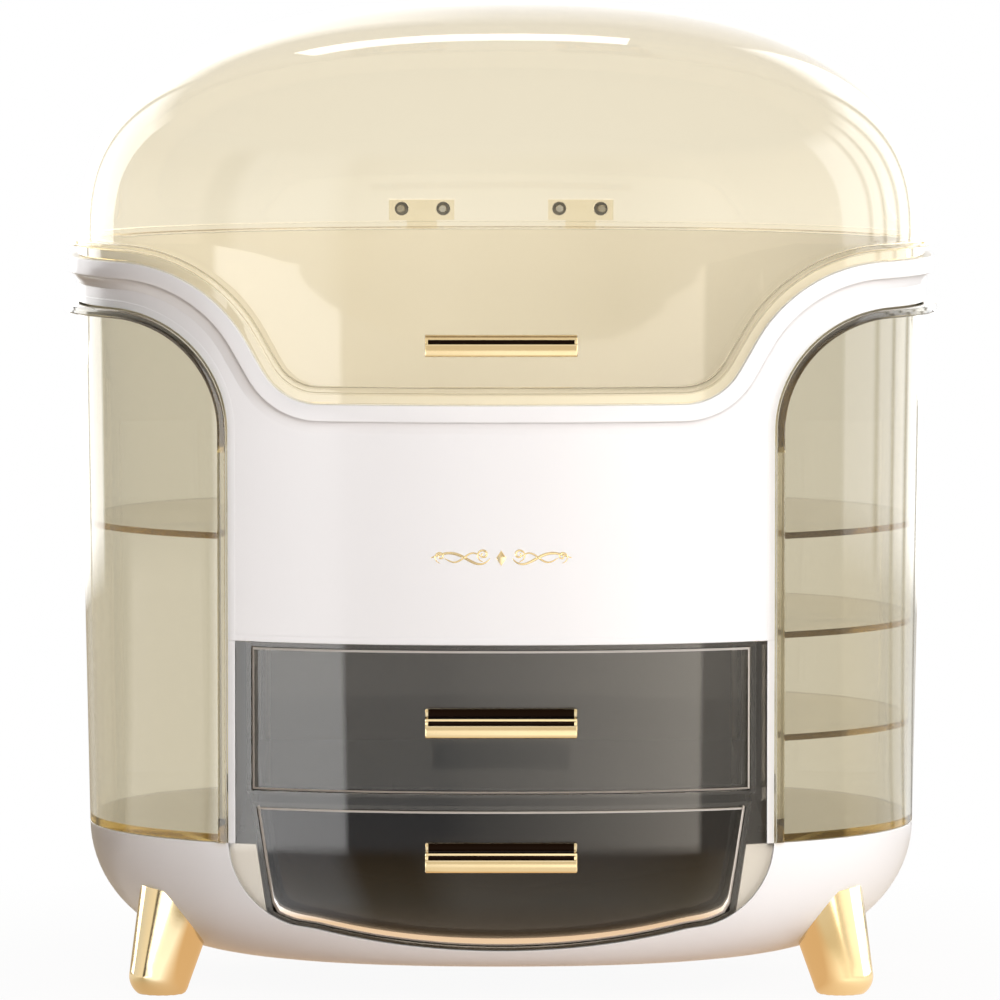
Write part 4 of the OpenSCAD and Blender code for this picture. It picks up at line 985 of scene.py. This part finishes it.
def pull_section(height, cheek):
    """Closed section of a pull as (forward, up): the rounded bar, the groove, the lip and the
    hollow that sweeps up. In a cheek the groove is filled."""
    bar = quarter(HANDLE_D - BAR_FOOT_R, BAR_FOOT_R, BAR_FOOT_R, -90, 0)
    bar += quarter(HANDLE_D - BAR_TOP_R, GRIP_H - BAR_TOP_R, BAR_TOP_R, 0, 90)
    depth = HANDLE_D - BAR_FOOT_R if cheek else GROOVE_BACK
    groove = [(depth, GRIP_H), (depth, LIP_Z), (LIP_Y, LIP_Z), (LIP_Y, LIP_Z + LIP_TOP)]
    a = np.radians(np.linspace(0, 90, 9))[1:]
    sweep = np.stack([PLATE + (LIP_Y - PLATE) * (1 - np.sin(a)),
                      LIP_Z + LIP_TOP + (height - LIP_Z - LIP_TOP) * (1 - np.cos(a))], axis=-1)
    return np.array([(0, 0), *bar, *groove, *sweep, (0, height)])


def pull(name, at_z, height, inset, body, node):
    """A pull's section carried along its length, with its back on the bowed front that lies this
    far inside the body's face. Faces in the groove and the hollow get an attribute by which the gold is
    painted near black there, as shade."""
    half = HANDLE_W / 2
    open_part = [(x, 0) for x in runs(-half + CHEEK, 20, half - CHEEK)]
    cheek_x = half, half - END_CHAMFER, half - CHEEK
    sections = [*[(-x, 1) for x in cheek_x], *open_part, *[(x, 1) for x in cheek_x[::-1]]]
    x = np.array([x for x, _ in sections])[:, None]
    outline = np.array([pull_section(height, cheek) for _, cheek in sections])
    ends = (np.abs(x) == half)[..., None]
    middle = outline.mean(axis=1, keepdims=True)
    outline = np.where(ends, outline + np.clip(middle - outline, -END_CHAMFER, END_CHAMFER), outline)
    forward, z = outline[..., 0], outline[..., 1] + at_z - height / 2
    foremost = -face_y(0, at_z, inset)
    y = np.where(forward > 0, foremost - forward, -face_y(x, z, inset) - TOUCH)
    grid = grid_of(x, y, z)
    caps = [shrink(grid[0], 1)[::-1], shrink(grid[-1], 1)]
    whole = np.concatenate([caps[0], grid, caps[1]])
    made = solid(name, [(whole, True, None)], body, [node], sharp=30)
    cx, cy, cz = face_centres(made)
    up, fore = cz - at_z + height / 2, foremost - cy
    groove = (up > GRIP_H - HAIR) & (up < LIP_Z + HAIR) & (fore < HANDLE_D - BAR_TOP_R - HAIR)
    hollow = (up > LIP_Z + LIP_TOP + HAIR) & (fore > PLATE - 10 * HAIR) & (height == DRAWER_PULL_H)
    # The attribute marks the groove's and hollow's faces, which the gold material paints near black as shade.
    recess_shade = made.data.attributes.new("recess_shade", "FLOAT", "FACE")
    recess_shade.data.foreach_set("value", ((np.abs(cx) < half - CHEEK - HAIR) & (groove | hollow)).astype(float))
    return made


LID_PULL_H, DRAWER_PULL_H = 8.6, 11.4
LID_PULL_Z = RIM_LOW + 24.4
UPPER_PULL_Z = (UPPER_BOTTOM + UPPER_TOP) / 2
LOWER_PULL_Z = LOWER_TOP - 18.4
for name, z, height, inset, body, node in (
        ("gold_lid_pull", LID_PULL_Z, LID_PULL_H, LID_INSET, "lid", "lid_handle"),
        ("gold_upper_pull", UPPER_PULL_Z, DRAWER_PULL_H, FACE_INSET, "upper_drawer", "upper_drawer_handle"),
        ("gold_lower_pull", LOWER_PULL_Z, DRAWER_PULL_H, FACE_INSET, "lower_drawer", "lower_drawer_handle")):
    dress(gold, pull(name, z, height, inset, body, node))

# ---- Gold ornament ------------------------------------------------------------------------------------
# A flourish of thin raised strokes on the white panel, in the pulls' gold: a lozenge between two
# mirrored scrolls that run out in a long wave.

ORNAMENT_Z = 184.4
STROKE_RISE = 0.25


def stroke(x, z, width):
    """A raised stroke along a path. Its section is a flat half ellipse, square to the path, and
    its width tapers to both ends by the root of a sine."""
    t = np.linspace(0, 1, len(x))
    dx, dz = np.gradient(x), np.gradient(z)
    size = np.hypot(dx, dz)
    half = width / 2 * (0.25 + 0.75 * np.sin(np.pi * t) ** 0.6)
    half[[0, -1]] = 0.05
    a = np.linspace(0, 2 * np.pi, 20, endpoint=False)
    px = x[:, None] - (dz / size * half)[:, None] * np.cos(a)
    pz = z[:, None] + (dx / size * half)[:, None] * np.cos(a)
    rise = STROKE_RISE * np.sin(a) * np.minimum(1, half / half.max() + 0.3)[:, None]
    grid = grid_of(px, -face_y(px, pz) - rise, pz)
    return np.concatenate([shrink(grid[0], 1)[::-1], grid, shrink(grid[-1], 1)]), True, None


def flourish():
    """Strokes of the right half: the long wave and a smaller one over it, then a spiral by the
    lozenge and one at the tail, whose radius shrinks exponentially with the angle."""
    made = []
    t = np.linspace(0, 1, 90)
    for start, length, height, lead, fading, width in (
            (4.5, 24, -2.6, 0.8, 0.35, 1.25), (7.5, 15.5, 2.2, 1, 0.3, 0.85)):
        wave = height * np.sin(2 * np.pi * t**lead) * (1 - fading * t)
        made.append(stroke(start + length * t, ORNAMENT_Z + wave, width))
    a = np.linspace(-0.5 * np.pi, 2.4 * np.pi, 110)
    for x, up, radius, at, fading, width in (
            (7.2, 1.4, 2.9, -0.5 * np.pi, 0.17, 0.95), (24.6, 0.6, 2.0, 0, 0.2, 0.8)):
        r = radius * np.exp(-fading * (a - at))
        made.append(stroke(x + r * np.cos(a), ORNAMENT_Z + up + r * np.sin(a), width))
    return made


def lozenge():
    """A raised diamond with a ridge: square rings that shrink towards its middle as they rise."""
    a = np.linspace(0, 2 * np.pi, 5)[:-1]
    size = np.array([1.0, 1.0, 0.55, 0.0])[:, None]
    x, z = 2.1 * size * np.cos(a), ORNAMENT_Z + 3.2 * size * np.sin(a)
    rise = np.array([-0.1, 0.12, 0.3, 0.3])[:, None]
    rings = grid_of(x, -face_y(x, z) - rise, z)
    return np.concatenate([shrink(rings[0], 1)[::-1], rings]), True, None


half_flourish = flourish()
strokes = [*half_flourish, *mirror(half_flourish), lozenge()]
ornament = solid("gold_flourish", strokes, "cabinet", sharp=60)
dress(gold, ornament)

# ---- Steel screws and pins -----------------------------------------------------------------------
# Small pan-head screws and plain pins in bright zinc-plated steel. They keep the CAD's shapes and
# only get their material here.


def zinc_steel():
    """Zinc-plated steel: a cool metal, a little dull, with fine turning marks round each head."""
    mat = new_material("zinc_plated_steel")
    _, grain, dull = speckle(mat, 1500, 3, (0.2, 0.00003), (0.35, 0.5))
    metal = add(mat, "BsdfPrincipled", [("Metallic", 1.0), ("Base Color", linear("#DADCDD"))],
                [("Roughness", dull), ("Normal", grain.outputs[0])])
    return finish(mat, metal)


dress(zinc_steel(), "foot_screws", "case_screws", "back_panel_screws", "lid_hinge_pins", "hinge_base_screws",
      "lid_handle_screws", "hinge_leaf_screws", "left_door_pins", "right_door_pins",
      "upper_handle_screws", "lower_handle_screws")

# ---- Floor, light and camera ------------------------------------------------------------------------
# A white sheet of paper under soft studio light from the front, the right and behind, and a long
# lens. Gloss mirrors tall windows with dark gaps, which draw the streaks on gold and clear plastic.

STAGE = 3.0             # half depth of the sheet, in metres


def floor_sheet():
    """A level sheet of paper, wider than it is deep."""
    points = grid_of(np.array([-2, 2]) * STAGE, np.array([[-1], [1]]) * STAGE, np.zeros((2, 1)))
    mesh = bpy.data.meshes.new("paper_sheet")
    mesh.from_pydata(points.reshape(-1, 3).tolist(), [], [(0, 1, 3, 2)])
    ob = bpy.data.objects.new("paper_sheet", mesh)
    bpy.context.scene.collection.objects.link(ob)
    return ob


def gap(middle, width, level=4.0):
    """Stops of a dark gap in a window."""
    return [(middle - width, level, 0), (middle, 0.1, 0), (middle + width, level, 0)]


BROWN = "#958673"       # of the ceiling, as clear edges bend it into view
BROWN_SINES = 0.12, 0.45        # of the angles above the horizon between which white turns brown
WINDOW_SINES = 0.5, 0.62        # and between which the windows end

# What glossy surfaces see round the object, as (degrees from the front, level, warmth) stops:
# windows brighter than 1 with dark gaps between them, in the room and, in three rings, on the
# floor: far off, nearer and by the feet. Under the object the floor is a plain warm tone.
ROOM = [(-180, 1.4, 0), (-163, 4, 0), *gap(-146, 3), (-118, 4, 0), (-117, 0.8, 0), (-68, 1.1, 1),
        (-64, 0.05, 2), (-58, 0.05, 2), (-52, 1.5, 0), (-30, 1.4, 0), (-24, 0.45, 2), (-8, 1, 1),
        (16, 0.45, 2), (36, 1.6, 1), (84, 1.8, 1), (86, 4, 0), *gap(103, 2.5), *gap(114, 2.5),
        *gap(127, 3), *gap(142, 3.5), (163, 4, 0), (164, 1.4, 0)]
FLOOR = [(-180, 3, 0), *gap(-167, 2.5, 3.4), *gap(-146, 2.5, 3.4), (-128, 3.4, 0), (-125, 0.1, 0),
         (-116, 0.3, 0), (-61, 0.3, 0), (-60, 4.4, 0), (-26.5, 4.4, 0), (-26.5, 0.7, 0), (-8, 0.7, 0),
         (36, 4.2, 1), (36, 0.9, 1), (84, 0.7, 0), (85, 3, 0), *gap(105, 3, 3), *gap(119, 3, 3),
         *gap(134, 4, 3), *gap(155, 5, 3)]
NEAR_FLOOR = [(-180, 0.5, 2), (-106, 0.35, 2), (-100, 1.6, 1), (-66, 1.6, 1), (-63, 0.2, 2),
              (-60, 4.4, 0), (-26.5, 4.4, 0), (-26.5, 0.7, 0), (-8, 0.7, 0), (36, 4.2, 1), (36, 0.9, 1),
              (84, 0.6, 2), (85, 1.2, 2), *gap(119, 3, 1.0), *gap(134, 4, 1.2), *gap(155, 5, 0.8),
              (170, 0.5, 2)]
FOOT_FLOOR = [(-180, 0.5, 2), (-110, 0.5, 2), (-100, 1.0, 1), (-76, 0.9, 1), (-64, 0.6, 2), (-50, 1.5, 0),
              (-30, 1.4, 0), (-24, 0.45, 2), (-14, 0.45, 2), (-6, 1.0, 1), (20, 0.9, 1), (36, 0.8, 2),
              (50, 1.6, 1), (110, 1.0, 1), (150, 0.5, 2)]
UNDER_OBJECT = 0.85, 0.6, 0.38, 1
# Each ring with the distances from the object's middle, in metres, over which it takes over.
RINGS = (0.14, 0.19, FOOT_FLOOR), (0.45, 0.6, NEAR_FLOOR), (1.7, 2.1, FLOOR)


def window_levels(owner, place, windows):
    """Colour of the surroundings by the angle round the object, from a colour ramp."""
    split = add(owner, "SeparateXYZ", links=[(0, place)])
    back = add(owner, "Math", [("operation", "MULTIPLY"), (1, -1.0)], [(0, split.outputs["Y"])])
    angle = add(owner, "Math", [("operation", "ARCTAN2")],
                [(0, split.outputs["X"]), (1, back.outputs[0])])
    turn = add(owner, "MapRange", [("From Min", -np.pi), ("From Max", np.pi)],
               [("Value", angle.outputs[0])])
    ramp = add(owner, "ValToRGB", links=[(0, turn.outputs["Result"])])
    stops = ramp.color_ramp.elements
    stops.remove(stops[1])
    for i, (degrees, level, warm) in enumerate(windows):
        stop = stops[0] if i == 0 else stops.new((degrees + 180) / 360 + i * 1e-5)
        stop.color = (level, level * (1 - 0.08 * warm), level * (1 - 0.2 * warm), 1)
    return ramp.outputs["Color"]


def seen_through(owner, place, kind):
    """White for the camera. Clear plastic sees it too towards the horizon and the floor, and brown
    overhead, by the sine of the angle above the horizon, which draws thin lines along its edges.
    Gives the light path, which rays see this, and its shader of the given kind."""
    path = add(owner, "LightPath")
    camera_ray = path.outputs["Is Camera Ray"]
    seen = add(owner, "Math", [("operation", "MAXIMUM")],
               [(0, camera_ray), (1, path.outputs["Is Transmission Ray"])])
    way = add(owner, "VectorMath", [("operation", "NORMALIZE")], [(0, place)])
    up = add(owner, "SeparateXYZ", links=[(0, way.outputs[0])])
    dimmed = add(owner, "MapRange",
                 [("From Min", BROWN_SINES[0]), ("From Max", BROWN_SINES[1]),
                  ("To Min", 1.0), ("To Max", 0.0)],
                 [("Value", up.outputs["Z"])])
    white = add(owner, "Math", [("operation", "MAXIMUM")],
                [(0, camera_ray), (1, dimmed.outputs["Result"])])
    mixed = two_tone(owner, white.outputs[0], BROWN, "#FFFFFF")
    plain = add(owner, kind, [("Strength", 1.0)], [("Color", mixed.outputs[2])])
    return path.outputs, seen.outputs[0], plain.outputs[0]


def white_paper():
    """Matt white paper. Seen from the camera it turns to plain white away from the object, and it
    keeps the object's shadow close to its feet."""
    mat = new_material("white_paper")
    place = add(mat, "TexCoord").outputs["Object"]
    paper = add(mat, "BsdfPrincipled", [("Base Color", linear("#D5C2B5")), ("Roughness", 0.9)])
    path, seen, plain = seen_through(mat, place, "Emission")
    flat = add(mat, "VectorMath", [("operation", "LENGTH")], [(0, place)])
    levels = add(mat, "RGB").outputs[0]
    levels.default_value = UNDER_OBJECT
    for start, end, windows in RINGS:
        further = add(mat, "MapRange", [("From Min", start), ("From Max", end)],
                      [("Value", flat.outputs["Value"])])
        levels = add(mat, "Mix", [("data_type", "RGBA")],
                     [("Factor", further.outputs["Result"]), (6, levels),
                      (7, window_levels(mat, place, windows))]).outputs[2]
    room = add(mat, "Emission", [("Strength", 1.0)], [("Color", levels)])
    away = add(mat, "MapRange", [("From Min", 0.1), ("From Max", 0.4), ("To Min", 0.94)],
               [("Value", flat.outputs["Value"])])
    share = add(mat, "Math", [("operation", "MULTIPLY")],
                [(0, seen), (1, away.outputs["Result"])])
    mirrored = add(mat, "Math", [("operation", "SUBTRACT"), ("use_clamp", True)],
                   [(0, path["Is Glossy Ray"]), (1, path["Is Transmission Ray"])])
    lit = add(mat, "MixShader",
              links=[(0, share.outputs[0]), (1, paper.outputs[0]), (2, plain)])
    both = add(mat, "MixShader",
               links=[(0, mirrored.outputs[0]), (1, lit.outputs[0]), (2, room.outputs[0])])
    return finish(mat, both)


paper_sheet = floor_sheet()
paper_sheet.data.materials.append(white_paper())

scene = bpy.context.scene
world = bpy.data.worlds.new("soft_room")
scene.world = world
world.use_nodes = True


def studio_world():
    """Weak warm fill for matt surfaces. Glass and the camera see plain white, and gloss sees the
    room's windows, which end overhead."""
    world.node_tree.nodes.clear()
    place = add(world, "TexCoord").outputs["Generated"]
    up = add(world, "SeparateXYZ", links=[(0, place)])
    overhead = add(world, "MapRange", [("From Min", WINDOW_SINES[0]), ("From Max", WINDOW_SINES[1])],
                   [("Value", up.outputs["Z"])])
    mixed = add(world, "Mix", [("data_type", "RGBA"), (7, (1, 1, 1, 1))],
                [("Factor", overhead.outputs["Result"]), (6, window_levels(world, place, ROOM))])
    path, seen, plain = seen_through(world, place, "Background")
    fill = add(world, "Background", [("Color", linear("#FFD8BE")), ("Strength", 0.045)])
    room = add(world, "Background", [("Strength", 1.0)], [("Color", mixed.outputs[2])])
    gloss = add(world, "MixShader",
                links=[(0, path["Is Glossy Ray"]), (1, fill.outputs[0]), (2, room.outputs[0])])
    both = add(world, "MixShader", links=[(0, seen), (1, gloss.outputs[0]), (2, plain)])
    add(world, "OutputWorld", links=[("Surface", both.outputs[0])])


studio_world()


def softbox(name, place, width, height, power, mirrored=False):
    """A rectangular lamp at a place in metres, turned to the object's middle. Only a mirrored one
    shows in glossy surfaces, and it lights nothing else."""
    lamp = bpy.data.lights.new(name, "AREA")
    lamp.shape = "RECTANGLE"
    lamp.size, lamp.size_y, lamp.energy = width, height, power
    ob = bpy.data.objects.new(name, lamp)
    ob.location = place
    ob.rotation_euler = (Vector((0, 0, 0.2)) - Vector(place)).to_track_quat("-Z", "Y").to_euler()
    ob.visible_glossy, ob.visible_diffuse, ob.visible_transmission = mirrored, not mirrored, False
    scene.collection.objects.link(ob)


softbox("key", (0.42, -2.4, 1.1), 1.2, 1.2, 47)
softbox("right_window", (1.9, -0.5, 0.7), 1.4, 1.4, 23)
softbox("top_bank", (-0.15, 1.32, 2.2), 1.0, 0.28, 4.0, mirrored=True)
softbox("back_fill", (-0.5, 2.6, 1.3), 1.4, 1.4, 40)

CAMERA_AT = Vector((0, -4.2306, 0.5245))
VIEW_MIDDLE = Vector((0, 0, 0.1984))
camera = bpy.data.cameras.new("studio_camera")
camera.sensor_width = 36
camera.lens = 367.9
camera.shift_x = -0.0012
camera.clip_start, camera.clip_end = 0.1, 50
view_from = bpy.data.objects.new("studio_camera", camera)
view_from.location = CAMERA_AT
view_from.rotation_euler = (VIEW_MIDDLE - CAMERA_AT).to_track_quat("-Z", "Y").to_euler()
scene.collection.objects.link(view_from)
scene.camera = view_from
scene.view_settings.view_transform = "Standard"
